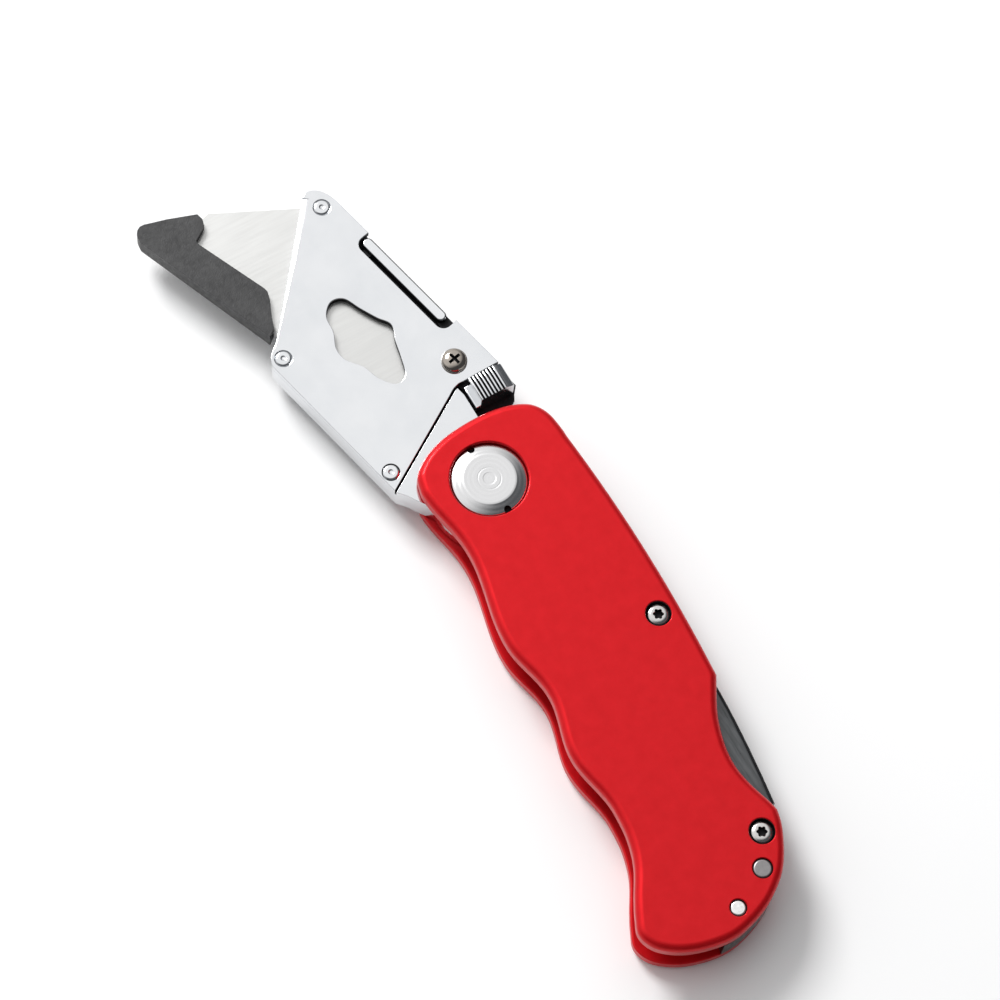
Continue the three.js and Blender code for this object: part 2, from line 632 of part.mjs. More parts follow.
// The button's ribs run along the handle, so it is drawn square to the handle. It can be
// grown along its length, on its edge side, on its spine side and to the rear.
function buttonOutline(growLength = 0, growEdge = 0, growSpine = 0, growRear = 0) {
  const turn = radians(-HEAD_ANGLE);
  const [cx, cy] = BUTTON_AT;
  const half = BUTTON_L / 2 + growLength;
  const [low, high] = [-BUTTON_W / 2 - growSpine, BUTTON_W / 2 + growEdge];
  const rear = -half - growRear;
  return outline([[rear, low], [half, low], [half, high], [rear, high]].map(([x, y]) => [
    cx + x * Math.cos(turn) - y * Math.sin(turn), cy + x * Math.sin(turn) + y * Math.cos(turn),
  ]));
}

const armV = HEAD_BACK_V + FIT_GAP + RAIL_W / 2;

// Recess for the release lever: boss, arm along the spine side and the button's well.
function leverRecess() {
  const z0 = Z_POCKET;
  const [u] = BUTTON_AT;
  const well = slab(buttonOutline(2 * FIT_GAP, TAB_W + LEVER_SWING, 3 * OVER, WELL_REACH),
    z0, Z_TOP + OVER);
  const arm = block([u, HEAD_BACK_V - OVER, z0], [SLOT_TO + FIT_GAP, BLADE_BACK_V - 0.25, Z_TOP]);
  const boss = rod(LEVER_PIVOT, LEVER_BOSS_R + LEVER_SWING, z0, Z_TOP);
  const [pivotU, pivotV] = LEVER_PIVOT;
  const link = block([u, pivotV - LEVER_BOSS_R, z0], [pivotU, pivotV + LEVER_BOSS_R + 0.4, Z_TOP]);
  return [well, arm, boss, link];
}

function plateSeat() {
  const far = 2 * HEAD_NOSE_U;
  const corner = PLATE_REAR[PLATE_REAR.length - 1][0];
  const region = outline([
    ...PLATE_REAR, [corner - 0.3, -far], [far, -far], [far, far], [4.2, far],
  ]);
  return slab(region, Z_PLATE, Z_TOP + OVER);
}

const rivetHoles = Object.values(RIVETS).map((at) => rod(at, RIVET_R + RIVET_RING, 0, TOTAL_T));
const leverScrewHole = rod(LEVER_PIVOT, LEVER_SCREW_R + SHAFT_PLAY, Z_HEAD + 0.8, TOTAL_T);
const springAt = [LEVER_PIVOT[0] + 0.2, LEVER_PIVOT[1] - 3.9];
const springWell = block([springAt[0] - 2.9, springAt[1] - 0.3, Z_POCKET - 1.2],
  [springAt[0] + 2.9, springAt[1] + 1.2, Z_POCKET + OVER]);

const headBody = cut(slab(headOutline(), Z_HEAD, Z_TOP), plateSeat(),
  slab(bladeOutline(FIT_GAP, 2 * OVER), Z_POCKET, Z_TOP), ...leverRecess(), ...rivetHoles,
  leverScrewHole, springWell, rod([0, 0], PIVOT_R + SHAFT_PLAY, 0, TOTAL_T, ROUND));
place(head, 'head_body', headBody, chrome);

const plate = cut(slab(plateOutline(), Z_PLATE, Z_TOP), slab(windowOutline(), 0, TOTAL_T),
  ...rivetHoles, leverScrewHole);
place(head, 'cover_plate', plate, chrome);

for (const [name, at] of Object.entries(RIVETS)) {
  place(head, name, turned(at, [
    [0, Z_HEAD + 0.1], [RIVET_R, Z_HEAD + 0.1], [RIVET_R, Z_TOP - 0.1],
    [RIVET_R - 0.35, Z_TOP + RIVET_DOME], [0.4, Z_TOP + RIVET_DOME], [0, Z_TOP],
  ], SMALL_ROUND), chrome);
}

// Cross-headed screw that the lever turns on.
function leverScrew() {
  const top = Z_TOP + LEVER_HEAD_T;
  const body = turned(LEVER_PIVOT, [
    [0, Z_HEAD + 0.9], [LEVER_SCREW_R, Z_HEAD + 0.9], [LEVER_SCREW_R, Z_TOP + SLIP],
    [LEVER_HEAD_R, Z_TOP + SLIP], [LEVER_HEAD_R, top - 0.5], [LEVER_HEAD_R - 0.35, top - 0.12],
    [LEVER_HEAD_R - 0.9, top], [0, top],
  ], SMALL_ROUND);
  const [u, v] = LEVER_PIVOT;
  const [long, thin, depth] = [1.25, 0.24, 0.8];
  return cut(body, block([u - long, v - thin, top - depth], [u + long, v + thin, top + OVER]),
    block([u - thin, v - long, top - depth], [u + thin, v + long, top + OVER]));
}

place(head, 'lever_screw', leverScrew(), brightSteel);
const leverSpring = [[-2.7, 0], [-2.3, 0], [0, 0.75], [2.3, 0], [2.7, 0], [0, 1]]
  .map(([u, v]) => [springAt[0] + u, springAt[1] + v]);
place(head, 'lever_spring', slab(outline(leverSpring), Z_POCKET - 1.1, Z_POCKET - 0.1),
  brightSteel);

// ---- release lever ----------------------------------------------------------------------

// Grooves across the button leave its ribs standing.
function ribGrooves(top) {
  const pitch = RIB_SPAN / RIB_COUNT;
  const [u, v] = BUTTON_AT;
  return Array.from({ length: RIB_COUNT }, (_, i) => {
    const y = BUTTON_W / 2 - (i + 1) * pitch;
    const groove = new THREE.BoxGeometry(BUTTON_L + 2 * OVER, pitch * 0.42, 2 * RIB_DEPTH);
    groove.translate(0, y, 0).rotateZ(radians(-HEAD_ANGLE)).translate(u, v, top);
    return toSolid(groove);
  });
}

// The lever's lower part: from the boss under the screw back to the button and out along
// the spine side to the rail.
function leverArm(railFrom, railTo) {
  const [u, v] = LEVER_PIVOT;
  const [rearU] = BUTTON_AT;
  const [outer, inner] = [armV - RAIL_W / 2, armV + RAIL_W / 2];
  return outline([
    [u, v + LEVER_BOSS_R - 0.1], [rearU, v + LEVER_BOSS_R - 0.6], [rearU, outer],
    [railTo, outer], [railTo, inner], [railFrom, inner], [u + 1.6, v - 1.6],
  ]);
}

function releaseLever() {
  const z0 = Z_POCKET + SLIP;
  const z1 = z0 + LEVER_BASE_T;
  const top = Z_TOP + BUTTON_H;
  const end = RAIL_W / 2;
  const railFrom = SLOT_FROM + RAIL_REAR_GAP + end;
  const railTo = SLOT_TO - FIT_GAP - end;
  const rail = outline([
    ...arc(end, 90, 270, 8, [railFrom, armV]), ...arc(end, -90, 90, 8, [railTo, armV]),
  ]);
  const lever = join(
    rod(LEVER_PIVOT, LEVER_BOSS_R, z0, z1, ROUND),
    slab(leverArm(railFrom, railTo), z0, z1),
    block([TOOTH_U - TOOTH_W / 2, armV, z0], [TOOTH_U + TOOTH_W / 2, BLADE_BACK_V - FIT_GAP, z1]),
    slab(rail, z0, Z_TOP - RAIL_SINK),
    slab(buttonOutline(0, TAB_W), z0, Z_TOP - RAIL_SINK),
    slab(buttonOutline(), z0, top),
  );
  const bore = rod(LEVER_PIVOT, LEVER_SCREW_R + 2 * SHAFT_PLAY, 0, TOTAL_T);
  return cut(lever, bore, ...ribGrooves(top));
}

place(head, 'release_lever', releaseLever(), chrome);

// ---- blade ------------------------------------------------------------------------------

function bladeSolid() {
  const z0 = Z_BLADE;
  const z1 = Z_BLADE + BLADE_T;
  const middle = BLADE_TIP_U - BLADE_L / 2;
  const notches = [-1, 1].flatMap((side) => {
    const half = BLADE_NOTCH_W / 2;
    const u = middle + side * BLADE_NOTCH_PITCH / 2;
    const v = BLADE_BACK_V + BLADE_NOTCH_D - half;
    const mouth = block([u - half, BLADE_BACK_V - OVER, z0 - OVER], [u + half, v, z1 + OVER]);
    return [rod([u, v], half, z0 - OVER, z1 + OVER), mouth];
  });
  // Each face slopes to a thin edge over the width of the bevel.
  const edgeHalf = 0.06;
  const run = 2 * BLADE_L;
  const bevel = [1, -1].map((side) => {
    const face = side > 0 ? z1 : z0;
    const centre = (z0 + z1) / 2;
    const profile = outline([
      [BLADE_EDGE_V - BLADE_BEVEL, face], [BLADE_EDGE_V + OVER, face + side],
      [BLADE_EDGE_V + OVER, centre + side * edgeHalf * 0.4],
      [BLADE_EDGE_V, centre + side * edgeHalf],
    ]);
    const wedge = new THREE.ExtrudeGeometry(profile, { depth: run, bevelEnabled: false });
    wedge.rotateX(Math.PI / 2).rotateZ(Math.PI / 2);
    return toSolid(wedge.translate(BLADE_TIP_U - run / 2 - BLADE_L / 2, 0, 0));
  });
  return cut(slab(bladeOutline(0), z0, z1), ...notches, ...bevel);
}

place(head, 'blade', bladeSolid(), bladeSteel);

// ---- guard ------------------------------------------------------------------------------

// Offsets from the blade's sharp corner, so that the guard stays on the edge.
function guardOutline() {
  const hook = [
    [-28.3, 1.25], [-27.6, -0.25], [-25.9, -1.35], [-23.3, -3.25], [-22.1, -3.85],
    [-21.3, -3.85], [-8.2, -1.15], [-7.7, -1.35], [-7.0, -3.25], [-6.5, -4.1], [-5.5, -4.65],
    [-4.3, -4.6],
  ];
  const tip = smoothThrough([
    [-1.7, -0.35], [-0.3, 2.35], [0.25, 3.55], [0, 4.55], [-0.6, 5.15], [-2, 5.6],
  ], 10);
  return outline([...hook, ...tip, [-27.3, 1.35]]
    .map(([u, v]) => [BLADE_TIP_U + u, BLADE_EDGE_V + v]));
}

// The blade's slot in the guard: the blade's own outline, open towards the head.
function guardSlot() {
  const front = bladeEnd(FIT_GAP).map(([a, b]) => [BLADE_TIP_U - a, BLADE_EDGE_V - b]);
  const [rear, edge] = [BLADE_TIP_U - BLADE_L, BLADE_EDGE_V + FIT_GAP];
  return slab(outline([...front, [rear, edge], [rear, front[0][1]]]),
    Z_BLADE - 2 * SLIP, Z_BLADE + BLADE_T + 2 * SLIP);
}

place(head, 'blade_guard', cut(slab(guardOutline(), Z_GUARD, Z_TOP), guardSlot()), blackPlastic);

// ---- origin at the centre of the base ---------------------------------------------------

knife.updateMatrixWorld(true);
const bounds = new THREE.Box3().setFromObject(knife, true);
const centre = bounds.getCenter(new THREE.Vector3());
knife.position.set(-centre.x, -centre.y, -bounds.min.z);

export default knife;
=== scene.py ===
"""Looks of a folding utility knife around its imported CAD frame, for Blender 4.5."""
import json
import math

import bmesh
import bpy
import numpy as np
from mathutils import Matrix, Vector


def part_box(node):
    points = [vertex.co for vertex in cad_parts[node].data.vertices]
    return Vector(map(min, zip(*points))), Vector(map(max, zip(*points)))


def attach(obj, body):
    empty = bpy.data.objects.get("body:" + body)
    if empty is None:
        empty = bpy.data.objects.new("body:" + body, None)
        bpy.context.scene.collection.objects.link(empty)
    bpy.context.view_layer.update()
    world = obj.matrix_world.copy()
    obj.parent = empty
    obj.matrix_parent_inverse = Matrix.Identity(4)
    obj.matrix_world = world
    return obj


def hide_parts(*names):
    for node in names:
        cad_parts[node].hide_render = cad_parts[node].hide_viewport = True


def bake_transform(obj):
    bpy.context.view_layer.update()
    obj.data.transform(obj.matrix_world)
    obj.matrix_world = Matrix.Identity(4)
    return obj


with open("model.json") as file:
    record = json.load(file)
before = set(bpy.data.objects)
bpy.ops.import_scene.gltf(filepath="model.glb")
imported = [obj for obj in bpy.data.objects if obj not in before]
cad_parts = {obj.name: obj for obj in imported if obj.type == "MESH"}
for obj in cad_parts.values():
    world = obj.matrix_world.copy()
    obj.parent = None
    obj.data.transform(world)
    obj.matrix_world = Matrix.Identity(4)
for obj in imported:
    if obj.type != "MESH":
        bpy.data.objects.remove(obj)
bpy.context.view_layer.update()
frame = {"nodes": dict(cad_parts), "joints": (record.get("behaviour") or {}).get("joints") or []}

# ---- where things are ------------------------------------------------------------------
# Pieces are drawn in millimetres about the pivot axis: x forward, y to the cutting edge.
# Pieces of the head are drawn along the head's own axis.

MM = 0.001


def cad_z(node, end):
    """Height in millimetres of a CAD node's lowest (0) or highest (1) point."""
    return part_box(node)[end].z / MM


def cad_middle(node):
    low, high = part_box(node)
    return (low + high) / 2


JOINTS = {joint["name"]: joint for joint in frame["joints"]}
PIVOT = cad_middle("pivot_bolt")
SLIDE = JOINTS["blade_slide"]["axis"]
HEAD_ANGLE = math.atan2(SLIDE[1], SLIDE[0])
HANDLE_FRAME = Matrix.Translation((PIVOT.x, PIVOT.y, 0)) @ Matrix.Scale(MM, 4)
HEAD_FRAME = HANDLE_FRAME @ Matrix.Rotation(HEAD_ANGLE, 4, "Z")


def drawn_at(node, placed=HANDLE_FRAME):
    """Centre of a CAD node in drawing millimetres."""
    spot = placed.inverted() @ cad_middle(node)
    return (spot.x, spot.y)


# Heights of the stack, from the rear face up
FRONT_TOP = cad_z("front_scale", 1)
FRONT_BASE = cad_z("front_scale", 0)
HEAD_TOP = cad_z("cover_plate", 1)
PLATE_BASE = cad_z("cover_plate", 0)
HEAD_BASE = cad_z("head_body", 0)
LEVER_BASE = cad_z("release_lever", 0)

# Handle
REACH = 82.0
EDGE_R = 1.3
RIM_R = 0.3
FRONT_REACH = 10.3
SPINE_H = 14.5
SPINE_CROWN = 1.05
BELLY_H = 10.4
BUTT_DROP = 17.6
NOTCH_L = 23.0
NOTCH_TO = REACH - 13.8
NOTCH_FROM = NOTCH_TO - NOTCH_L
NOTCH_FLOOR = SPINE_H - 5.25
DISC_R = 6.05
DISC_SEAT = 2.1
DISC_T = 2.0
DISC_GAP = 0.2
DISC_BEVEL = 1.7
DISC_RIM = 0.75
SCREW_SEAT_R = 2.05
SCREW_SEAT = 1.55
SCREW_BORE_R = 1.25
LARGE_PIN_R = 1.55
SMALL_PIN_R = 1.3
PIN_GAP = 0.05
HOLE_CHAMFER = 0.14
CREASE = math.radians(38)

# Head
BACK_V = -15.9
EDGE_V = 11.5
NOSE_U = 57.3
PLATE_REAR_U = 9.0
SEAM_LINE = [(PLATE_REAR_U, EDGE_V), (15.0, -6.0), (15.5, -7.4), (15.6, -8.6), (14.1, BACK_V)]
SEAM = 0.38
SLOT_FROM = 24.3
SLOT_TO = 45.2
SLOT_DEPTH = 3.0
RIVET_R = 1.4
RIVET_GAP = 0.05
LEVER_SCREW_R = 1.25
# Slanted front edge of the plate, from the spine side to the cutting side
FRONT_EDGE_FROM = (55.9, BACK_V + 5.2)
FRONT_EDGE_TO = (40.9, 8.2)
FRONT_EDGE_LEAN = 0.794       # u lost for each millimetre of v along it

# ---- curves ------------------------------------------------------------------------------


def smooth_through(points, steps, closed=False):
    """Evenly spaced points along a smooth curve through the given ones."""
    knots = np.array(points, float)
    count = len(knots)
    spans = count if closed else count - 1
    fine = []
    for i in range(spans):
        if closed:
            a, b, c, d = (knots[(i + k) % count] for k in (-1, 0, 1, 2))
        else:
            a, b = knots[max(i - 1, 0)], knots[i]
            c, d = knots[i + 1], knots[min(i + 2, count - 1)]
        for t in np.linspace(0, 1, 24, endpoint=False):
            fine.append(0.5 * (2 * b + (c - a) * t + (2 * a - 5 * b + 4 * c - d) * t ** 2
                               + (3 * b - a - 3 * c + d) * t ** 3))
    fine.append(knots[0] if closed else knots[-1])
    fine = np.array(fine)
    along = np.concatenate([[0], np.cumsum(np.linalg.norm(np.diff(fine, axis=0), axis=1))])
    wanted = np.linspace(0, along[-1], steps + 1)
    even = np.stack([np.interp(wanted, along, fine[:, k]) for k in (0, 1)], axis=1)
    return [tuple(p) for p in (even[:-1] if closed else even)]


def arc(centre, radius, start, end, steps):
    """Points on an arc, angles in degrees."""
    angles = np.radians(np.linspace(start, end, steps + 1))
    return [(centre[0] + radius * math.cos(a), centre[1] + radius * math.sin(a)) for a in angles]


def circle(centre, radius, steps=64):
    return arc(centre, radius, 0, 360, steps)[:-1]


def spine_y(x):
    middle = (NOTCH_FROM - 3.2) / 2
    share = (x + middle) / (middle + 2.5)
    return -(SPINE_H + SPINE_CROWN * (1 - share * share))


# Crests and troughs of the finger grips: shares of the reach and of the belly's height
GRIP = [(-0.04, 1), (0.1, 0.856), (0.305, 1.106), (0.425, 0.952), (0.56, 1.163), (0.68, 1.029)]
# Front edge from the spine to the belly: shares of its reach and of either height
FRONT = [
    (0.14, -1.012), (0.33, -1.0), (0.485, -0.98), (0.63, -0.938), (0.757, -0.87),
    (0.84, -0.787), (0.9, -0.69), (0.952, -0.566), (0.988, -0.4), (1, -0.22), (0.988, -0.03),
    (0.95, 0.25), (0.862, 0.54), (0.73, 0.78), (0.575, 0.93), (0.318, 1)]


def grip_line():
    """Finger grips from the front of the belly to the butt, crest to trough by half waves."""
    points = []
    for (s0, y0), (s1, y1) in zip(GRIP, GRIP[1:]):
        for t in np.linspace(0, 1, 22, endpoint=False):
            ease = (1 - math.cos(math.pi * t)) / 2
            points.append((-REACH * (s0 + (s1 - s0) * t), BELLY_H * (y0 + (y1 - y0) * ease)))
    return points


def butt_line():
    """Butt hook from the last grip round to the rear end of the thumb notch."""
    at, height = GRIP[-1]
    belly = BELLY_H * height

    def drop(share):
        return belly + (BUTT_DROP - belly) * share

    return smooth_through([
        (-at * REACH, drop(0)), (-0.735 * REACH, drop(0.058)), (-0.79 * REACH, drop(0.261)),
        (-0.845 * REACH, drop(0.652)), (5.6 - 0.945 * REACH, drop(0.855)),
        (7.5 - REACH, BUTT_DROP), (4.8 - REACH, drop(0.87)), (2.6 - REACH, drop(0.522)),
        (1 - REACH, drop(0.043)), (-REACH, 6.6), (0.15 - REACH, 3), (1.7 - REACH, -1.8),
        (4.4 - REACH, -5.9), (7.3 - REACH, -8.35), (-NOTCH_TO - 2.6, -10.45),
        (-NOTCH_TO, 3.3 - SPINE_H)], 140)


def notch_line():
    middle = (NOTCH_FROM + NOTCH_TO) / 2
    return smooth_through([
        (-NOTCH_TO, 3.3 - SPINE_H), (-NOTCH_TO + 1.7, -NOTCH_FLOOR - 1.6),
        (-middle - 0.26 * NOTCH_L, -NOTCH_FLOOR - 0.5),
        (-middle - 0.1 * NOTCH_L, -NOTCH_FLOOR), (-middle + 0.07 * NOTCH_L, -NOTCH_FLOOR - 0.5),
        (-middle + 0.27 * NOTCH_L, -NOTCH_FLOOR - 2.1),
        (-NOTCH_FROM, spine_y(-NOTCH_FROM))], 50)


def handle_outline():
    spine = [(x, spine_y(x)) for x in np.linspace(-NOTCH_FROM, 0.4, 50)]
    front = smooth_through(
        [(FRONT_REACH * x, y * (SPINE_H if y < 0 else BELLY_H)) for x, y in FRONT], 70)
    return spine + front[:-1] + grip_line() + butt_line()[:-1] + notch_line()[:-1]


def nose_line():
    nose = smooth_through([
        (52.6, BACK_V), (54.6, BACK_V + 0.25), (56.4, BACK_V + 1.1), (NOSE_U, BACK_V + 2.5),
        (56.9, BACK_V + 4), FRONT_EDGE_FROM], 24)
    corner = smooth_through([FRONT_EDGE_TO, (40.0, 10.0), (39.2, 10.9), (37.9, EDGE_V)], 10)
    return nose + corner


def plate_outline():
    radius = SLOT_DEPTH / 2
    floor = BACK_V + SLOT_DEPTH
    rear_end = arc((SLOT_FROM + radius, floor - radius), radius, 180, 90, 12)
    front_end = arc((SLOT_TO - radius, floor - radius), radius, 90, 0, 12)
    first, *bend, last = [(u + SEAM, v) for u, v in SEAM_LINE]
    rear = [first] + smooth_through(bend, 8) + [last]
    return ([(SLOT_FROM, BACK_V)] + rear_end + front_end + [(SLOT_TO, BACK_V)]
            + nose_line() + rear)


def window_outline():
    return smooth_through([
        (40.2, -3.0), (39.2, -5.0), (36.2, -5.8), (33.2, -6.7), (30.8, -7.6), (28.4, -6.2),
        (25.6, -4.9), (22.9, -3.3), (22.7, -1.2), (25.2, 0.2), (28.4, 0.7), (31.2, 2.0),
        (33.6, 1.8), (36.0, 0.2), (38.8, -0.8)], 150, closed=True)


# ---- mesh building -----------------------------------------------------------------------


def facing(loop, outer):
    """The loop turned so that the material lies on its left."""
    x, y = np.array(loop).T
    area = np.sum(x * np.roll(y, -1) - np.roll(x, -1) * y)
    return loop if (area > 0) == outer else loop[::-1]


def inset_loop(loop, distance):
    """The loop moved into the material by distance."""
    points = np.array(loop)
    ahead = np.roll(points, -1, axis=0) - points
    ahead /= np.linalg.norm(ahead, axis=1)[:, None]
    normal = np.stack([-ahead[:, 1], ahead[:, 0]], axis=1)
    both = normal + np.roll(normal, 1, axis=0)
    length = np.linalg.norm(both, axis=1)
    share = np.minimum(2 / np.maximum(length, 1e-9), 1.5)
    return points + both / length[:, None] * (distance * share)[:, None]


def edge_round(z, side, radius, steps):
    """(inset, z) pairs of a rounded edge: side +1 is an upper edge, -1 a lower one."""
    turn = np.linspace(0, math.pi / 2, steps + 1)
    pairs = [(radius * (1 - math.cos(a)), z - side * radius * (1 - math.sin(a))) for a in turn]
    return pairs if side > 0 else pairs[::-1]


def wall(low, high, lower_r, upper_r, steps=3):
    """Profile of a wall with both edges rounded."""
    return edge_round(low, -1, lower_r, steps) + edge_round(high, 1, upper_r, steps)


def slab(name, boundaries):
    """A flat piece: each boundary is (loop, profile) and the first one is the outside."""
    bm = bmesh.new()
    bottom, top = [], []
    for i, (loop, profile) in enumerate(boundaries):
        turned_loop = facing(loop, i == 0)
        rings = []
        for inset, z in profile:
            rings.append([bm.verts.new((x, y, z)) for x, y in inset_loop(turned_loop, inset)])
        count = len(turned_loop)
        for lower, upper in zip(rings, rings[1:]):
            for k in range(count):
                n = (k + 1) % count
                bm.faces.new((lower[k], lower[n], upper[n], upper[k]))
        for rim, ring in ((bottom, rings[0]), (top, rings[-1])):
            rim += [bm.edges.get((ring[k], ring[(k + 1) % count])) for k in range(count)]
    for rim in (bottom, top):
        bmesh.ops.triangle_fill(bm, use_beauty=True, edges=rim)
    bmesh.ops.recalc_face_normals(bm, faces=bm.faces)
    return to_object(name, bm)


def lathe(name, centre, profile, steps=72):
    """A turned piece from (radius, z) pairs that start and end on the axis."""
    bm = bmesh.new()
    rings = []
    for radius, z in profile:
        if radius < 1e-6:
            rings.append([bm.verts.new((centre[0], centre[1], z))])
        else:
            rings.append([bm.verts.new((x, y, z)) for x, y in circle(centre, radius, steps)])
    for a, b in zip(rings, rings[1:]):
        for k in range(steps):
            n = (k + 1) % steps
            face = [a[k % len(a)], a[n % len(a)], b[n % len(b)], b[k % len(b)]]
            unique = list(dict.fromkeys(face))
            if len(unique) > 2:
                bm.faces.new(unique)
    bmesh.ops.recalc_face_normals(bm, faces=bm.faces)
    return to_object(name, bm)


def round_profile(points, radius, steps=3):
    """(radius, z) profile with its corners rounded, apart from the first and last."""
    result = [points[0]]
    for before, corner, after in zip(points, points[1:], points[2:]):
        here = Vector(corner)
        back = Vector(before) - here
        on = Vector(after) - here
        reach = min(radius, back.length / 2.2, on.length / 2.2)
        start = here + back.normalized() * reach
        end = here + on.normalized() * reach
        for k in range(steps + 1):
            t = k / steps
            point = start * (1 - t) ** 2 + here * 2 * t * (1 - t) + end * t * t
            result.append((point.x, point.y))
    result.append(points[-1])
    return result


def to_object(name, bm):
    mesh = bpy.data.meshes.new(name)
    bm.to_mesh(mesh)
    bm.free()
    obj = bpy.data.objects.new(name, mesh)
    bpy.context.scene.collection.objects.link(obj)
    return obj


def apply_modifiers(obj):
    bpy.context.view_layer.update()
    graph = bpy.context.evaluated_depsgraph_get()
    mesh = bpy.data.meshes.new_from_object(obj.evaluated_get(graph))
    obj.modifiers.clear()
    old = obj.data
    obj.data = mesh
    bpy.data.meshes.remove(old)


def carve(obj, *cutters, operation="DIFFERENCE"):
    """Exact boolean of obj with each cutter; the cutters are used up."""
    for cutter in cutters:
        step = obj.modifiers.new("carve", "BOOLEAN")
        step.operation = operation
        step.solver = "EXACT"
        step.object = cutter
        apply_modifiers(obj)
        bpy.data.objects.remove(cutter)
    return obj


def soften(obj, width, segments=2, angle=32):
    """Small rounded edges wherever two faces meet at more than the angle."""
    step = obj.modifiers.new("soften", "BEVEL")
    step.width = width
    step.segments = segments
    step.limit_method = "ANGLE"
    step.angle_limit = math.radians(angle)
    step.use_clamp_overlap = True
    apply_modifiers(obj)
    return obj


def merge(name, *objs):
    """One object out of several."""
    bm = bmesh.new()
    for obj in objs:
        bm.from_mesh(obj.data)
        bpy.data.objects.remove(obj)
    return to_object(name, bm)


def cad_copy(node, name, placed):
    """A copy of a CAD node in drawing millimetres, with its flat faces made whole."""
    bm = bmesh.new()
    bm.from_mesh(frame["nodes"][node].data)
    bmesh.ops.transform(bm, matrix=placed.inverted(), verts=bm.verts)
    bmesh.ops.remove_doubles(bm, verts=bm.verts, dist=0.002)
    bmesh.ops.dissolve_limit(bm, angle_limit=math.radians(0.6), verts=bm.verts, edges=bm.edges)
    return to_object(name, bm)


def level_shading(mesh):
    """Corner normals that keep level faces level where a rounded edge runs into them."""
    corners = np.empty(len(mesh.loops) * 3, np.float32)
    mesh.corner_normals.foreach_get("vector", corners)
    corners = corners.reshape(-1, 3)
    count = len(mesh.polygons)
    facing_way = np.empty(count * 3, np.float32)
    mesh.polygons.foreach_get("normal", facing_way)
    up = facing_way.reshape(-1, 3)[:, 2]
    sizes = np.empty(count, np.int32)
    mesh.polygons.foreach_get("loop_total", sizes)
    owner = np.repeat(np.arange(count), sizes)
    points = np.empty(len(mesh.loops), np.int32)
    mesh.loops.foreach_get("vertex_index", points)
    for side in (1, -1):
        on_level = np.zeros(len(mesh.vertices), bool)
        on_level[points[(up * side > 0.9999)[owner]]] = True
        near = on_level[points] & (up[owner] * side > math.cos(CREASE))
        corners[near] = (0, 0, side)
    mesh.normals_split_custom_set(corners.tolist())


def finish_piece(obj, placed, body, node, material, inner=None):
    """Smooth shading, its place in the row frame, its body, CAD node and material. Faces
    that the picker chooses, in drawing millimetres, get the dark material of painted shade."""
    mesh = obj.data
    chosen = [bool(inner and inner(face)) for face in mesh.polygons]
    mesh.transform(placed)
    mesh.polygons.foreach_set("use_smooth", [True] * len(mesh.polygons))
    mesh.set_sharp_from_angle(angle=CREASE)
    step = obj.modifiers.new("normals", "WEIGHTED_NORMAL")
    step.keep_sharp = True
    step.weight = 80
    apply_modifiers(obj)
    level_shading(obj.data)
    obj.data.materials.clear()
    obj.data.materials.append(MATERIALS[material])
    if inner:
        obj.data.materials.append(MATERIALS["inner"])
        obj.data.polygons.foreach_set("material_index", [int(pick) for pick in chosen])
    if body:
        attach(obj, body)
    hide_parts(node)
    return obj


# ---- materials ---------------------------------------------------------------------------


class Shader:
    """A principled material with helpers for its texture nodes."""

    def __init__(self, name, **values):
        self.material = bpy.data.materials.new(name)
        self.material.use_nodes = True
        self.tree = self.material.node_tree
        self.base = self.tree.nodes["Principled BSDF"]
        for socket, value in values.items():
            self.base.inputs[socket.replace("_", " ")].default_value = value
        self.place = self.tree.nodes.new("ShaderNodeTexCoord").outputs["Object"]

    def link(self, output, target):
        self.tree.links.new(output, target)

    def mapping(self, scale=(1, 1, 1), turn=0.0, shift=(0, 0, 0)):
        node = self.tree.nodes.new("ShaderNodeMapping")
        node.inputs["Scale"].default_value = scale
        node.inputs["Rotation"].default_value = (0, 0, turn)
        node.inputs["Location"].default_value = shift
        self.link(self.place, node.inputs["Vector"])
        return node.outputs["Vector"]

    def noise(self, scale, detail=3.0, roughness=0.5, vector=None):
        node = self.tree.nodes.new("ShaderNodeTexNoise")
        node.inputs["Scale"].default_value = scale
        node.inputs["Detail"].default_value = detail
        node.inputs["Roughness"].default_value = roughness
        self.link(vector or self.place, node.inputs["Vector"])
        return node.outputs["Fac"]

    def ramp(self, value, stops):
        node = self.tree.nodes.new("ShaderNodeValToRGB")
        ends = node.color_ramp.elements
        while len(ends) < len(stops):
            ends.new(0.5)
        for end, (at, colour) in zip(ends, stops):
            end.position = at
            end.color = (*colour, 1)
        self.link(value, node.inputs["Fac"])
        return node.outputs["Color"]

    def spread(self, value, low, high, start=0.3, end=0.7):
        node = self.tree.nodes.new("ShaderNodeMapRange")
        node.inputs["From Min"].default_value = start
        node.inputs["From Max"].default_value = end
        node.inputs["To Min"].default_value = low
        node.inputs["To Max"].default_value = high
        self.link(value, node.inputs["Value"])
        return node.outputs["Result"]

    def bump(self, height, strength, depth, below=None):
        node = self.tree.nodes.new("ShaderNodeBump")
        node.inputs["Strength"].default_value = strength
        node.inputs["Distance"].default_value = depth
        self.link(height, node.inputs["Height"])
        if below is not None:
            self.link(below, node.inputs["Normal"])
        return node.outputs["Normal"]

    def set(self, socket, output):
        self.link(output, self.base.inputs[socket])
        return self


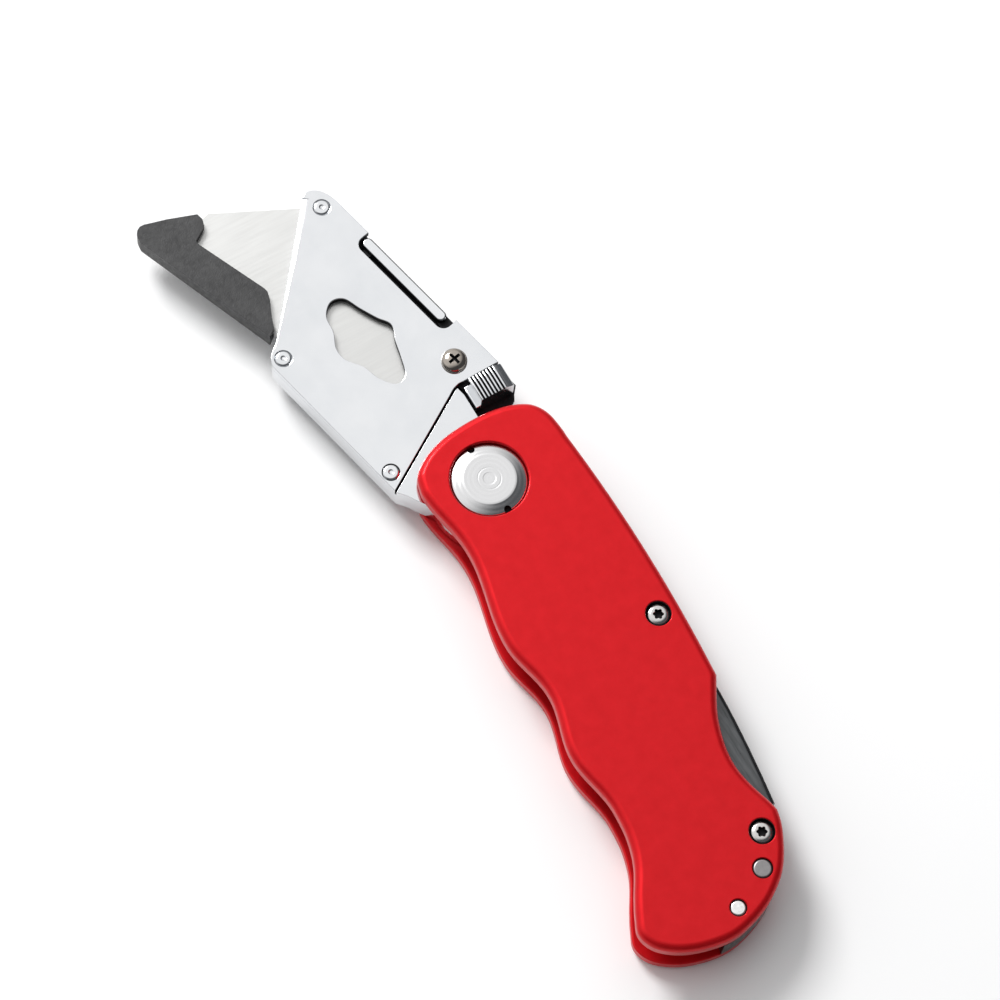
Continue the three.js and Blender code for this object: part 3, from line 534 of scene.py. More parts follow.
def red_anodised():
    s = Shader("red_anodised", Metallic=0.5, Specular_IOR_Level=0.15, Coat_Weight=0.12,
               Coat_Roughness=0.1)
    mottle = s.noise(420, 5.0, 0.6)
    s.set("Base Color", s.ramp(mottle, [(0.3, (0.545, 0.005, 0.009)), (0.7, (0.60, 0.007, 0.012))]))
    s.set("Roughness", s.spread(s.noise(900, 3.0), 0.36, 0.44))
    fine = s.bump(s.noise(5200, 2.0), 0.2, 0.00003)
    s.set("Normal", s.bump(s.noise(1100, 3.0), 0.06, 0.00006, fine))
    return s.material


def chrome():
    s = Shader("chrome", Metallic=1.0)
    smudge = s.noise(120, 4.0, 0.6)
    s.set("Base Color", s.ramp(smudge, [(0.3, (0.685, 0.70, 0.72)), (0.7, (0.74, 0.75, 0.765))]))
    s.set("Roughness", s.spread(s.noise(300, 5.0, 0.65), 0.07, 0.17))
    waves = s.bump(s.noise(95, 2.0), 0.35, 0.0002)
    polish = s.noise(1400, 2.0, vector=s.mapping((1, 14, 1), HEAD_ANGLE))
    s.set("Normal", s.bump(polish, 0.06, 0.00003, waves))
    return s.material


def turned_chrome():
    """Chrome with the fine rings of turning about the pivot."""
    s = Shader("turned_chrome", Metallic=1.0, Base_Color=(0.66, 0.66, 0.665, 1))
    wave = s.tree.nodes.new("ShaderNodeTexWave")
    wave.wave_type = "RINGS"
    wave.rings_direction = "Z"
    wave.inputs["Scale"].default_value = 420
    wave.inputs["Distortion"].default_value = 0.6
    s.link(s.mapping(shift=(-PIVOT.x, -PIVOT.y, 0)), wave.inputs["Vector"])
    s.set("Roughness", s.spread(wave.outputs["Fac"], 0.16, 0.26, 0.0, 1.0))
    s.set("Normal", s.bump(wave.outputs["Fac"], 0.10, 0.00003, s.bump(s.noise(200), 0.2, 0.0001)))
    return s.material


def dark_steel():
    s = Shader("dark_steel", Metallic=0.9)
    brushed = s.noise(1500, 3.0, 0.6, vector=s.mapping((0.12, 1, 1)))
    s.set("Base Color", s.ramp(brushed, [(0.25, (0.014, 0.012, 0.011)), (0.75, (0.040, 0.036, 0.034))]))
    s.set("Roughness", s.spread(brushed, 0.28, 0.5))
    s.set("Normal", s.bump(brushed, 0.25, 0.00004))
    return s.material


def bright_steel(name, tint, rough):
    s = Shader(name, Metallic=1.0)
    grain = s.noise(2200, 3.0)
    dark = tuple(0.86 * c for c in tint)
    s.set("Base Color", s.ramp(grain, [(0.3, dark), (0.7, tint)]))
    s.set("Roughness", s.spread(s.noise(1500, 3.0), rough, rough + 0.12))
    s.set("Normal", s.bump(grain, 0.10, 0.00003))
    return s.material


def brushed_bar():
    """Grey steel brushed along the bar."""
    s = Shader("lock_bar_steel", Metallic=0.9)
    brushed = s.noise(1500, 3.0, 0.6, vector=s.mapping((0.12, 1, 1)))
    s.set("Base Color", s.ramp(brushed, [(0.25, (0.055, 0.058, 0.060)), (0.75, (0.13, 0.135, 0.14))]))
    s.set("Roughness", s.spread(brushed, 0.26, 0.42))
    s.set("Normal", s.bump(brushed, 0.2, 0.00004))
    return s.material


def blade_steel():
    """Ground steel, its fine lines square to the cutting edge."""
    s = Shader("blade_steel", Metallic=0.7, Specular_IOR_Level=0.4)
    lines = s.noise(2600, 3.0, 0.6, vector=s.mapping((1, 0.05, 1), -HEAD_ANGLE))
    s.set("Base Color", s.ramp(lines, [(0.3, (0.56, 0.56, 0.55)), (0.7, (0.59, 0.59, 0.58))]))
    s.set("Roughness", s.spread(lines, 0.28, 0.32))
    s.set("Normal", s.bump(lines, 0.03, 0.00002))
    return s.material


def black_plastic():
    """Moulded plastic with a spark-eroded texture."""
    s = Shader("black_plastic", Specular_IOR_Level=0.45)
    patch = s.noise(330, 4.0, 0.6)
    s.set("Base Color", s.ramp(patch, [(0.3, (0.016, 0.016, 0.017)), (0.7, (0.036, 0.036, 0.037))]))
    s.set("Roughness", s.spread(s.noise(1200, 3.0), 0.42, 0.62))
    fine = s.bump(s.noise(3800, 3.0), 0.5, 0.00006)
    s.set("Normal", s.bump(s.noise(850, 3.0), 0.35, 0.00012, fine))
    return s.material


def shade_paint_material():
    """Painted shade: a dark, dull metal put in recesses, grooves and hole walls and on shaded sides,
    where shade falls.
    """
    s = Shader("shade_paint_material", Metallic=0.5, Specular_IOR_Level=0.2)
    grain = s.noise(900, 4.0)
    s.set("Base Color", s.ramp(grain, [(0.3, (0.008, 0.008, 0.009)), (0.7, (0.022, 0.022, 0.024))]))
    s.set("Roughness", s.spread(grain, 0.5, 0.75))
    s.set("Normal", s.bump(grain, 0.3, 0.00004))
    return s.material


MATERIALS = {
    # painted shade: the dark material that the face pickers put where shade falls
    "inner": shade_paint_material(),
    "bright_pin": bright_steel("bright_pin_steel", (0.84, 0.84, 0.83), 0.14),
    "red": red_anodised(),
    "chrome": chrome(),
    "turned": turned_chrome(),
    "dark": dark_steel(),
    "bar": brushed_bar(),
    "bright": bright_steel("bright_steel", (0.62, 0.61, 0.60), 0.14),
    "nickel": bright_steel("nickel", (0.40, 0.36, 0.32), 0.08),
    "pin": bright_steel("pin_steel", (0.30, 0.29, 0.29), 0.30),
    "blade": blade_steel(),
    "plastic": black_plastic(),
}

# ---- handle ------------------------------------------------------------------------------

LOCK_SCREW = drawn_at("lock_pivot_screw")
BUTT_SCREW = drawn_at("butt_screw")
LARGE_PIN = drawn_at("butt_pin_large")
SMALL_PIN = drawn_at("butt_pin_small")
TOTAL = FRONT_TOP             # from the rear scale's face, at zero, to the front scale's


def hole(centre, radius, base, top):
    """A plain round hole with a small chamfer at its upper mouth."""
    profile = [(0, base), (0, top - HOLE_CHAMFER), (HOLE_CHAMFER, top)]
    return circle(centre, radius), profile


def stepped_hole(centre, seat_r, bore_r, base, seat, top, chamfer):
    """A counterbored hole."""
    step = bore_r - seat_r
    profile = [(step, base), (step, seat), (-0.02, seat), (0, seat + 0.02), (0, top - chamfer),
               (chamfer * 0.45, top - chamfer * 0.4), (chamfer, top)]
    return circle(centre, seat_r, 96), profile


def scale(name):
    """The front scale: rounded outer edge, softened channel edge and all its holes."""
    base, top = FRONT_BASE, FRONT_TOP
    screws = [stepped_hole(at, SCREW_SEAT_R, SCREW_BORE_R, base, top - SCREW_SEAT, top, 0.16)
              for at in (LOCK_SCREW, BUTT_SCREW)]
    return slab(name, [
        (handle_outline(), edge_round(base, -1, RIM_R, 4) + edge_round(top, 1, EDGE_R, 9)),
        stepped_hole((0, 0), DISC_R + DISC_GAP, 3.05, base, top - DISC_SEAT, top, 0.28),
        *screws,
        hole(LARGE_PIN, LARGE_PIN_R + PIN_GAP, base, top),
        hole(SMALL_PIN, SMALL_PIN_R + PIN_GAP, base, top),
    ])


def turned_over(obj):
    """The piece mirrored to the other side of the knife."""
    flip = Matrix.Translation((0, 0, TOTAL)) @ Matrix.Scale(-1, 4, (0, 0, 1))
    obj.data.transform(flip)
    obj.data.flip_normals()
    return obj


def in_seat(face):
    """Walls and floors of the screw and pin holes, which get painted shade."""
    x, y, z = face.center
    seats = ((LOCK_SCREW, SCREW_SEAT_R), (BUTT_SCREW, SCREW_SEAT_R),
             (LARGE_PIN, LARGE_PIN_R + PIN_GAP), (SMALL_PIN, SMALL_PIN_R + PIN_GAP))
    inside = any(math.hypot(x - at[0], y - at[1]) < radius + 0.02 for at, radius in seats)
    return inside and 0.12 < z < TOTAL - 0.12


def build_scales():
    for node, piece in (("front_scale", scale("front_scale_skin")),
                        ("rear_scale", turned_over(scale("rear_scale_skin")))):
        finish_piece(piece, HANDLE_FRAME, "handle", node, "red", inner=in_seat)


SHANK_R = 3.0
SHANK_END = 2.15
PIVOT_THREAD_R = 2.0
SPANNER_R = 0.6
SPANNER_DEPTH = 1.4
SPANNER_AT = DISC_R - 0.3


def disc_notches(z0, z1):
    """Cutters for the two spanner notches in a disc's rim."""
    profile = [(0, z0), (SPANNER_R, z0), (SPANNER_R, z1), (0, z1)]
    return [lathe("notch", (side * SPANNER_AT, 0), profile, 32) for side in (1, -1)]


def in_notch(face):
    """Picks the walls and floors of the spanner notches, which get painted shade."""
    x, y, z = face.center
    reach = SPANNER_DEPTH + 0.05
    near_face = FRONT_TOP - reach < z or z < reach
    return near_face and math.hypot(abs(x) - SPANNER_AT, y) < SPANNER_R + 0.03


def build_pivot():
    top = cad_z("pivot_bolt", 1)
    end = cad_z("pivot_bolt", 0)
    under = top - DISC_T
    step = SHANK_END
    profile = round_profile([
        (0, end), (PIVOT_THREAD_R, end), (PIVOT_THREAD_R, step), (SHANK_R, step),
        (SHANK_R, under), (DISC_R, under), (DISC_R, top - DISC_RIM), (DISC_R - 0.1, top - DISC_RIM + 0.1),
        (DISC_R - DISC_BEVEL, top - 0.04), (DISC_R - DISC_BEVEL - 0.3, top), (2.0, top),
        (1.85, top - 0.03), (1.7, top), (1.1, top), (0.95, top - 0.03), (0, top - 0.03)], 0.08)
    bolt = lathe("pivot_disc", (0, 0), profile, 128)
    carve(bolt, *disc_notches(top - SPANNER_DEPTH, top + 1))
    finish_piece(bolt, HANDLE_FRAME, "handle", "pivot_bolt", "turned", inner=in_notch)
    low = cad_z("pivot_nut", 0)
    high = cad_z("pivot_nut", 1)
    nut = lathe("pivot_disc_nut", (0, 0), round_profile([
        (0, low), (DISC_R - DISC_BEVEL, low), (DISC_R - 0.1, low + DISC_RIM - 0.1),
        (DISC_R, low + DISC_RIM), (DISC_R, high), (0, high)], 0.08), 128)
    bore = PIVOT_THREAD_R + 0.05
    carve(nut, lathe("bore", (0, 0), [(0, -1), (bore, -1), (bore, high + 1), (0, high + 1)], 64),
          *disc_notches(-1, SPANNER_DEPTH))
    finish_piece(nut, HANDLE_FRAME, "handle", "pivot_nut", "turned", inner=in_notch)


SCREW_R = 1.2
SCREW_HEAD_R = 1.85
SCREW_HEAD_T = 1.2
SOCKET_R = 0.85
SOCKET_DEPTH = 0.85


def socket_cutter(centre, z0, z1):
    """Six-lobed driver socket, a little wider at its mouth."""
    angles = np.linspace(0, 2 * math.pi, 96, endpoint=False)
    radii = SOCKET_R * (0.88 + 0.12 * np.cos(6 * angles))
    loop = [(centre[0] + r * math.cos(a), centre[1] + r * math.sin(a)) for r, a in zip(radii, angles)]
    return slab("socket", [(loop, [(0.08, z0), (0.0, z0 + 0.08), (0, z1 - 1.05), (-0.14, z1 - 0.9),
                                   (-0.14, z1)])])


def in_socket(centre, top):
    """Picks the walls and floor of a driver socket, which get painted shade."""
    def inner(face):
        x, y, z = face.center
        return math.hypot(x - centre[0], y - centre[1]) < SOCKET_R + 0.02 and (
            abs(z - top) < 1.0 and abs(z - top) > 0.04)
    return inner


def socket_head(name, centre, top, shank_end):
    """A screw with a domed head, or its nut, from the shank's end to the head's top."""
    under = top - SCREW_HEAD_T
    profile = round_profile([
        (0, shank_end), (SCREW_R, shank_end), (SCREW_R, under), (SCREW_HEAD_R, under),
        (SCREW_HEAD_R, top - 0.5), (SCREW_HEAD_R - 0.16, top - 0.24),
        (SCREW_HEAD_R - 0.55, top - 0.05), (SCREW_HEAD_R - 0.8, top), (0, top)], 0.12)
    socket = socket_cutter(centre, top - SOCKET_DEPTH, top + 1)
    return carve(lathe(name, centre, profile, 96), socket)


def build_screws():
    top = cad_z("butt_screw", 1)
    for node, centre in (("lock_pivot_screw", LOCK_SCREW), ("butt_screw", BUTT_SCREW)):
        screw = socket_head(node + "_head", centre, top, cad_z(node, 0))
        finish_piece(screw, HANDLE_FRAME, "handle", node, "bright",
                     inner=in_socket(centre, top))
    for node, centre in (("lock_pivot_nut", LOCK_SCREW), ("butt_nut", BUTT_SCREW)):
        nut = turned_over(socket_head(node + "_head", centre, top, TOTAL - cad_z(node, 1)))
        finish_piece(nut, HANDLE_FRAME, "handle", node, "bright",
                     inner=in_socket(centre, TOTAL - top))


def build_pins():
    for node, centre, radius, material in (
            ("butt_pin_large", LARGE_PIN, LARGE_PIN_R, "pin"),
            ("butt_pin_small", SMALL_PIN, SMALL_PIN_R, "bright_pin")):
        low, high = cad_z(node, 0), cad_z(node, 1)
        profile = round_profile([
            (0, low), (radius - 0.25, low), (radius, low + 0.22), (radius, high - 0.22),
            (radius - 0.25, high), (0, high)], 0.15, 4)
        finish_piece(lathe(node + "_end", centre, profile), HANDLE_FRAME, "handle", node, material)


def in_pocket(face):
    """Faces inside the head, under the plate and in the seam behind it, which get painted shade in place
    of chrome.
    """
    u, v, z = face.center
    within = BACK_V + 0.35 < v < EDGE_V - 0.35 and z > HEAD_BASE + 0.3
    from_corner = u - FRONT_EDGE_FROM[0] + (v - FRONT_EDGE_FROM[1]) * FRONT_EDGE_LEAN
    past_nose = from_corner > -0.6
    if not within or past_nose or face.normal.z < -0.5:
        return False
    seam = face.normal.z > 0.9 and abs(z - PLATE_BASE) < 0.06
    upright = abs(face.normal.z) < 0.4
    behind = upright and z > PLATE_BASE + 0.2 and 6.0 < u < 17.0
    below = z < PLATE_BASE - 0.02 and u > 8.5
    return seam or behind or below


def build_copies():
    """Pieces whose CAD shape is right and only lacks softened edges."""
    for node, body, placed, width, segments, material in (
            ("backspacer", "handle", HANDLE_FRAME, 0.18, 3, "dark"),
            ("lock_pivot_sleeve", "handle", HANDLE_FRAME, 0.08, 2, "bright"),
            ("front_washer", "handle", HANDLE_FRAME, 0.04, 1, "bright"),
            ("rear_washer", "handle", HANDLE_FRAME, 0.04, 1, "bright"),
            ("lever_spring", "head", HEAD_FRAME, 0.04, 1, "bright"),
            ("blade_guard", "guard", HEAD_FRAME, 0.32, 3, "plastic")):
        piece = soften(cad_copy(node, node + "_fine", placed), width, segments)
        finish_piece(piece, placed, body, node, material)
    head = soften(cad_copy("head_body", "head_body_fine", HEAD_FRAME), 0.14, 2)
    finish_piece(head, HEAD_FRAME, "head", "head_body", "chrome", inner=in_pocket)
    blade = cad_copy("blade", "blade_fine", HEAD_FRAME)
    finish_piece(blade, HEAD_FRAME, "blade", "blade", "blade")


def round_outside(obj, width, segments, forward):
    """Rounds the two edges of a flat piece's spine side, behind x = forward."""
    bm = bmesh.new()
    bm.from_mesh(obj.data)
    bm.normal_update()
    edges = []
    for edge in bm.edges:
        if len(edge.link_faces) != 2:
            continue
        level = [face for face in edge.link_faces if abs(face.normal.z) > 0.99]
        outside = [face for face in edge.link_faces if face.normal.y < -0.8]
        if level and outside and max(vert.co.x for vert in edge.verts) < forward:
            edges.append(edge)
    bmesh.ops.bevel(bm, geom=edges, offset=width, segments=segments, profile=0.5,
                    affect="EDGES", clamp_overlap=False)
    bm.to_mesh(obj.data)
    bm.free()
    return obj


LOCK_BAR_EDGE_R = 0.9


def on_spine_side(face):
    return face.normal.y < -0.3


def build_lock():
    """The lock bar, and the leaf spring that bends between the handle and the bar."""
    bar = round_outside(cad_copy("lock_bar", "lock_bar_fine", HANDLE_FRAME), LOCK_BAR_EDGE_R, 5,
                        -NOTCH_FROM + 4)
    # painted shade on the lock bar's faces towards the spine, its rounded outer edge included
    finish_piece(bar, HANDLE_FRAME, "lock_bar", "lock_bar", "bar", inner=on_spine_side)
    leaf = soften(cad_copy("lock_spring", "lock_spring_fine", HANDLE_FRAME), 0.05, 1)
    finish_piece(leaf, HANDLE_FRAME, None, "lock_spring", "bright")
    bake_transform(leaf)


# ---- head ----------------------------------------------------------------------------------

RIVETS = ("rivet_front", "rivet_edge", "rivet_rear")
LEVER_AXIS = drawn_at("lever_screw", HEAD_FRAME)
BEVEL_SLOPE = 0.45


def front_bevel():
    """Cutter for the bevel on the plate's slanted front edge, wide at the spine side."""
    along = (Vector(FRONT_EDGE_TO) - Vector(FRONT_EDGE_FROM)).normalized()
    inward = Vector((-abs(along.y), -abs(along.x)))
    bm = bmesh.new()
    ends = []
    for (u, v), width in (((57.0, -12.1), 1.2), ((40.2, 9.1), 0.1)):
        edge = Vector((u, v))
        corners = [(width + 0.5, 0.5 * BEVEL_SLOPE), (-2, -(width + 2) * BEVEL_SLOPE), (-2, 1)]
        spots = [(edge + inward * reach, HEAD_TOP + rise) for reach, rise in corners]
        ends.append([bm.verts.new((spot.x, spot.y, z)) for spot, z in spots])
    for face in ends:
        bm.faces.new(face)
    for k in range(3):
        n = (k + 1) % 3
        bm.faces.new((ends[0][k], ends[0][n], ends[1][n], ends[1][k]))
    bmesh.ops.recalc_face_normals(bm, faces=bm.faces)
    return to_object("bevel", bm)


def shaded_plate_walls(face):
    """Walls of the window, the slot and the rear seam, which get painted shade."""
    u, v, _ = face.center
    if abs(face.normal.z) > 0.4:
        return False
    in_window = 22.0 < u < 41.0 and -8.2 < v < 2.6
    in_slot = SLOT_FROM - 0.2 < u < SLOT_TO + 0.2 and v < BACK_V + SLOT_DEPTH + 0.2
    in_seam = u < 16.2 and v > BACK_V + 0.3 and v < EDGE_V - 0.3
    return in_window or in_slot or in_seam


def build_plate():
    profile = wall(PLATE_BASE, HEAD_TOP, 0.05, 0.12)
    small = [(0, PLATE_BASE), (0, HEAD_TOP - 0.1), (0.03, HEAD_TOP - 0.03), (0.1, HEAD_TOP)]
    holes = [(circle(drawn_at(node, HEAD_FRAME), RIVET_R + RIVET_GAP, 72), small) for node in RIVETS]
    plate = slab("cover_plate_fine", [
        (plate_outline(), profile),
        (window_outline(), [(0, PLATE_BASE), (0, HEAD_TOP - 0.16), (0.05, HEAD_TOP - 0.05),
                            (0.16, HEAD_TOP)]),
        *holes,
        (circle(LEVER_AXIS, LEVER_SCREW_R + 0.05, 48), small),
    ])
    carve(plate, front_bevel())
    finish_piece(plate, HEAD_FRAME, "head", "cover_plate", "chrome", inner=shaded_plate_walls)


def build_rivets():
    for node in RIVETS:
        low, high = cad_z(node, 0), cad_z(node, 1)
        profile = round_profile([
            (0, low), (RIVET_R, low), (RIVET_R, high - 0.28), (RIVET_R - 0.3, high - 0.03),
            (RIVET_R - 0.7, high), (0.45, high), (0.3, high - 0.12), (0, high - 0.14)], 0.12, 4)
        head = lathe(node + "_head", drawn_at(node, HEAD_FRAME), profile, 80)
        finish_piece(head, HEAD_FRAME, "head", node, "chrome")


def cross_cutter(centre, top):
    """Tapered cross recess."""
    arms = []
    for long, thin in ((1.3, 0.3), (0.3, 1.3)):
        bm = bmesh.new()
        mouth, floor = [], []
        for sx, sy in ((-1, -1), (1, -1), (1, 1), (-1, 1)):
            mouth.append(bm.verts.new((centre[0] + sx * long, centre[1] + sy * thin, top + 0.4)))
            floor.append(bm.verts.new((centre[0] + sx * long * 0.55, centre[1] + sy * thin * 0.6,
                                       top - CROSS_DEPTH)))
        bm.faces.new(mouth)
        bm.faces.new(floor)
        for k in range(4):
            n = (k + 1) % 4
            bm.faces.new((mouth[k], mouth[n], floor[n], floor[k]))
        bmesh.ops.recalc_face_normals(bm, faces=bm.faces)
        arms.append(to_object("arm", bm))
    return arms


CROSS_R = 1.05
CROSS_DEPTH = 0.85


def in_cross(face):
    """Picks the walls and floor of the cross recess, which get painted shade."""
    u, v, z = face.center
    below_top = cad_z("lever_screw", 1) - z
    near = math.hypot(u - LEVER_AXIS[0], v - LEVER_AXIS[1]) < CROSS_R
    return near and 0.12 < below_top < CROSS_DEPTH + 0.05


def build_lever_screw():
    low, top = cad_z("lever_screw", 0), cad_z("lever_screw", 1)
    base = HEAD_TOP + 0.05
    head_r = 2.1
    profile = round_profile([
        (0, low), (LEVER_SCREW_R, low), (LEVER_SCREW_R, base), (head_r, base), (head_r, top - 0.8),
        (head_r - 0.25, top - 0.42), (head_r - 0.8, top - 0.14), (head_r - 1.4, top - 0.03),
        (0, top)], 0.3, 5)
    screw = carve(lathe("lever_screw_head", LEVER_AXIS, profile, 96), *cross_cutter(LEVER_AXIS, top))
    soften(screw, 0.05, 2, 45)
    finish_piece(screw, HEAD_FRAME, "head", "lever_screw", "nickel", inner=in_cross)


BUTTON_AT = (12.2, -12.0)
BUTTON_L = 4.3
BUTTON_W = 6.1
TAB_W = 0.8
RAIL_W = 1.8
RAIL_SINK = 0.25
LEVER_T = 0.75
BOSS_R = 2.4
BLADE_TIP_U = 70.5
BLADE_L = 61
BLADE_NOTCH_PITCH = 6.2
TOOTH_U = BLADE_TIP_U - BLADE_L / 2 + BLADE_NOTCH_PITCH / 2
TOOTH_W = 1.6
TOOTH_TIP_V = -12.15
RIBS = 8
RIB_SPAN = 4.9


def square_to_handle(x, y):
    """A point about the button's centre, turned square to the handle."""
    c, s = math.cos(-HEAD_ANGLE), math.sin(-HEAD_ANGLE)
    return (BUTTON_AT[0] + x * c - y * s, BUTTON_AT[1] + x * s + y * c)


def button_loop(low, high, half=BUTTON_L / 2):
    return [square_to_handle(*p) for p in ((-half, low), (half, low), (half, high), (-half, high))]


def button_block(top):
    """The ribbed button: its section across the ribs, drawn out along them."""
    half = BUTTON_W / 2
    pitch = RIB_SPAN / RIBS
    crown = top - 0.1
    section = [(half, LEVER_BASE), (half, crown - 0.1)]
    for k in range(RIBS):
        start = half - k * pitch
        for share, drop in ((0.12, 0.22), (0.26, 0.03), (0.45, 0.0), (0.64, 0.03), (0.78, 0.22)):
            section.append((start - share * pitch, top - drop))
        if k < RIBS - 1:
            section.append((start - 0.95 * pitch, top - 0.45))
    section += [(half - RIB_SPAN - 0.05, top - 0.3), (-half + 0.12, top - 0.75),
                (-half, top - 0.95), (-half, LEVER_BASE)]
    bm = bmesh.new()
    ends = []
    for x in (-BUTTON_L / 2, BUTTON_L / 2):
        ends.append([bm.verts.new((*square_to_handle(x, y), z)) for y, z in section])
    rear, fore = ends
    bm.faces.new(rear)
    bm.faces.new(fore)
    for k in range(len(section)):
        n = (k + 1) % len(section)
        bm.faces.new((rear[k], rear[n], fore[n], fore[k]))
    bmesh.ops.recalc_face_normals(bm, faces=bm.faces)
    return soften(to_object("button", bm), 0.07, 2, 60)


def in_shade(face):
    """Faces of the lever given painted shade: under the plate, the ribs' groove floors and the rail's
    spine side.
    """
    u, v, z = face.center
    turned_v = (v - BUTTON_AT[1]) * math.cos(HEAD_ANGLE) + (u - BUTTON_AT[0]) * math.sin(HEAD_ANGLE)
    on_ribs = turned_v > BUTTON_W / 2 - RIB_SPAN
    top = cad_z("release_lever", 1)
    groove = HEAD_TOP + 1.0 < z < top - 0.3 and face.normal.z > 0.2 and on_ribs
    # painted shade on the rail's side towards the spine, so that the slot reads dark
    spine_side = face.normal.y < -0.35 and z > HEAD_TOP - 1.2 and u > SLOT_FROM
    return z < PLATE_BASE - 0.03 or groove or spine_side


def build_lever():
    top = cad_z("release_lever", 1)
    u, v = LEVER_AXIS
    arm_v = BACK_V + 0.3 + RAIL_W / 2
    end = RAIL_W / 2
    rail_from = SLOT_FROM + 1.5 + end
    rail_to = SLOT_TO - 0.3 - end
    z1 = LEVER_BASE + LEVER_T
    sunk_top = HEAD_TOP - RAIL_SINK
    arm = slab("arm", [([
        (u, v + 2.3), (BUTTON_AT[0], v + 1.8), (BUTTON_AT[0], arm_v - end),
        (rail_to, arm_v - end), (rail_to, arm_v + end), (rail_from, arm_v + end),
        (u + 1.6, v - 1.6)], wall(LEVER_BASE, z1, 0.05, 0.08, 2))])
    boss = slab("boss", [(circle(LEVER_AXIS, BOSS_R), wall(LEVER_BASE, z1 + 0.01, 0.05, 0.08, 2)),
                         (circle(LEVER_AXIS, 1.35), [(0, LEVER_BASE), (0, z1 + 0.01)])])
    rail_loop = (arc((rail_from, arm_v), end, 90, 270, 20)
                 + arc((rail_to, arm_v), end, -90, 90, 20))
    rail = slab("rail", [(rail_loop, wall(LEVER_BASE + 0.02, sunk_top, 0.05, 0.35, 5))])
    tab = slab("tab", [(button_loop(0, BUTTON_W / 2 + TAB_W, BUTTON_L / 2 - 0.05),
                        wall(LEVER_BASE + 0.03, sunk_top, 0.05, 0.3, 4))])
    tooth = slab("tooth", [([
        (TOOTH_U - TOOTH_W / 2, arm_v), (TOOTH_U + TOOTH_W / 2, arm_v),
        (TOOTH_U + TOOTH_W / 2, TOOTH_TIP_V), (TOOTH_U - TOOTH_W / 2, TOOTH_TIP_V)],
        wall(LEVER_BASE + 0.01, z1 - 0.01, 0.05, 0.05, 1))])
    lever = merge("release_lever_fine", arm, boss, rail, tab, tooth, button_block(top))
    finish_piece(lever, HEAD_FRAME, "lever", "release_lever", "chrome", inner=in_shade)


# ---- studio --------------------------------------------------------------------------------
# Directions here are those of the photographed table: right, away and up.

KNIFE_TURN = math.radians(128.97)
VIEW_TILT = math.radians(21.0)
VIEW_ROLL = math.radians(9.0)
VIEW_DISTANCE = 0.5789
KEY_DISTANCE = 1.0
KEY_SIZE = 0.35
KEY_WATTS = 8.0
FLOOR_HALF = 1.6
FLOOR_CELLS = 24
FLOOR_LEVEL_R = 1.2           # level this far out, then rising
FLOOR_RISE = 0.25
AIR_STRENGTH = 1.12
AIR_DARK = (0.1, 0.104, 0.11, 1)
AIR_BRIGHT = (1.0, 1.0, 1.0, 1)
LENS = 129.6
AIM = Vector((-0.412, -2.451, 0))


def table_direction(right, away, up):
    return Matrix.Rotation(-KNIFE_TURN, 3, "Z") @ Vector((right, away, up))


def place_looking(obj, spot, forward, top):
    """Puts obj at spot, looking along forward with top upwards."""
    back = -forward.normalized()
    side = top.cross(back).normalized()
    upright = back.cross(side)
    turn = Matrix((side, upright, back)).transposed()
    obj.matrix_world = Matrix.Translation(spot) @ turn.to_4x4()


def build_camera():
    data = bpy.data.cameras.new("camera")
    data.lens = LENS
    data.sensor_width = 36
    data.clip_start = 0.05
    data.clip_end = 10
    camera = bpy.data.objects.new("camera", data)
    bpy.context.scene.collection.objects.link(camera)
    forward = table_direction(0, math.sin(VIEW_TILT), -math.cos(VIEW_TILT))
    upright = table_direction(0, math.cos(VIEW_TILT), math.sin(VIEW_TILT))
    right = table_direction(1, 0, 0)
    top = upright * math.cos(VIEW_ROLL) - right * math.sin(VIEW_ROLL)
    target = HANDLE_FRAME @ AIM
    place_looking(camera, target - forward * VIEW_DISTANCE, forward, top)
    bpy.context.scene.camera = camera
    return target


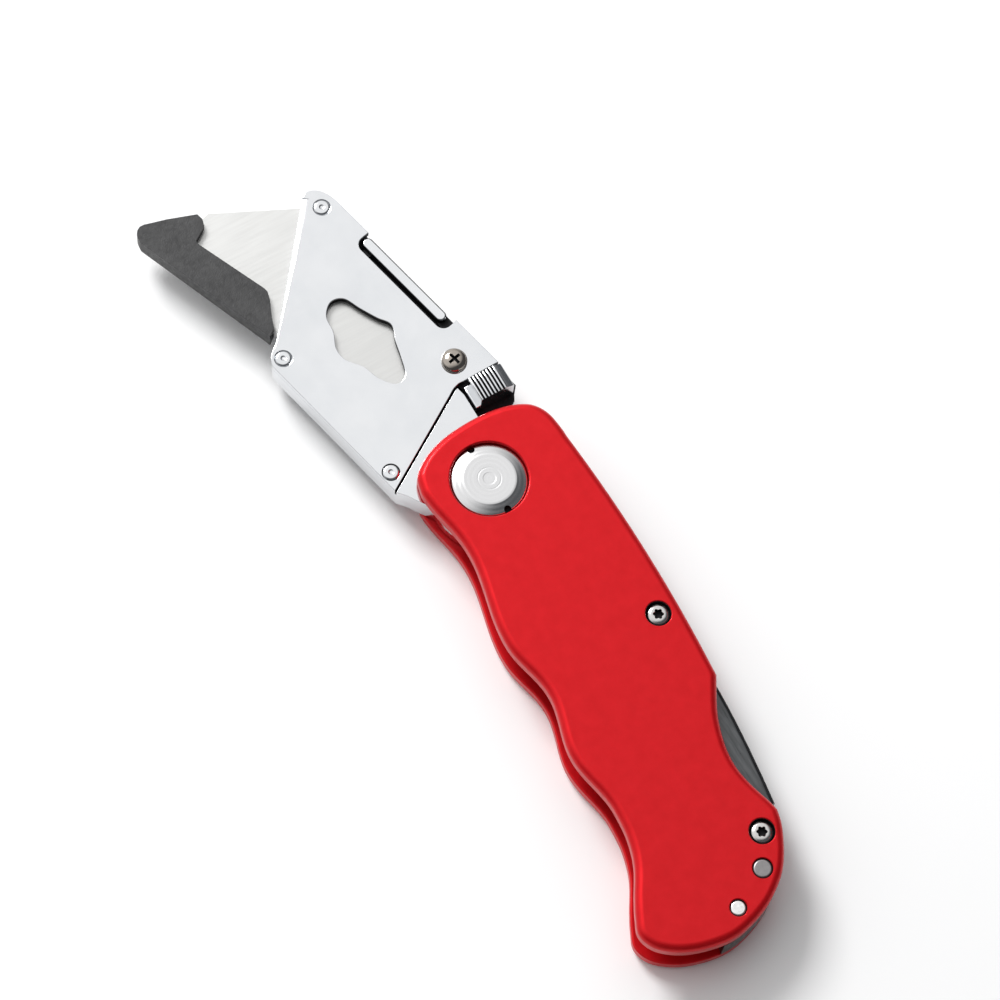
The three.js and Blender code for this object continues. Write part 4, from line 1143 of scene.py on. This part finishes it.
def area_light(name, target, direction, distance, size, power):
    data = bpy.data.lights.new(name, "AREA")
    data.shape = "RECTANGLE"
    data.size, data.size_y = size
    data.energy = power
    light = bpy.data.objects.new(name, data)
    bpy.context.scene.collection.objects.link(light)
    way = direction.normalized()
    place_looking(light, target + way * distance, -way, table_direction(0, 1, 0.01))


def build_floor():
    """A pale sweep of paper under the knife."""
    bm = bmesh.new()
    grid = bmesh.ops.create_grid(bm, x_segments=FLOOR_CELLS, y_segments=FLOOR_CELLS,
                                 size=FLOOR_HALF)
    for vert in grid["verts"]:
        beyond = max(0.0, vert.co.length - FLOOR_LEVEL_R)
        vert.co.z = FLOOR_RISE * beyond * beyond
    floor = to_object("floor", bm)
    s = Shader("paper", Specular_IOR_Level=0.25)
    s.set("Base Color", s.ramp(s.noise(14, 2.0), [(0.2, (0.94, 0.94, 0.94)), (0.8, (0.96, 0.96, 0.96))]))
    s.set("Roughness", s.spread(s.noise(400, 2.0), 0.75, 0.9))
    floor.data.materials.append(s.material)


def build_world():
    """Bright studio air, darker towards the near right."""
    world = bpy.data.worlds.new("studio")
    bpy.context.scene.world = world
    world.use_nodes = True
    tree = world.node_tree
    place = tree.nodes.new("ShaderNodeTexCoord").outputs["Generated"]
    dot = tree.nodes.new("ShaderNodeVectorMath")
    dot.operation = "DOT_PRODUCT"
    dot.inputs[1].default_value = table_direction(-0.55, 0.45, 0.70).normalized()
    tree.links.new(place, dot.inputs[0])
    ramp = tree.nodes.new("ShaderNodeValToRGB")
    stops = ramp.color_ramp.elements
    for stop, at, colour in zip(stops, (0.38, 0.74), (AIR_DARK, AIR_BRIGHT)):
        stop.position = at
        stop.color = colour
    tree.links.new(dot.outputs["Value"], ramp.inputs["Fac"])
    air = tree.nodes["Background"]
    air.inputs["Strength"].default_value = AIR_STRENGTH
    tree.links.new(ramp.outputs["Color"], air.inputs["Color"])


def build_studio():
    target = build_camera()
    build_floor()
    build_world()
    area_light("key", target, table_direction(-0.75, 0.7, 1.0), KEY_DISTANCE,
               (KEY_SIZE, KEY_SIZE), KEY_WATTS)
    settings = bpy.context.scene.view_settings
    settings.view_transform = "Standard"
    settings.look = "None"


build_scales()
build_pivot()
build_screws()
build_pins()
build_copies()
build_lock()
build_plate()
build_rivets()
build_lever_screw()
build_lever()
build_studio()
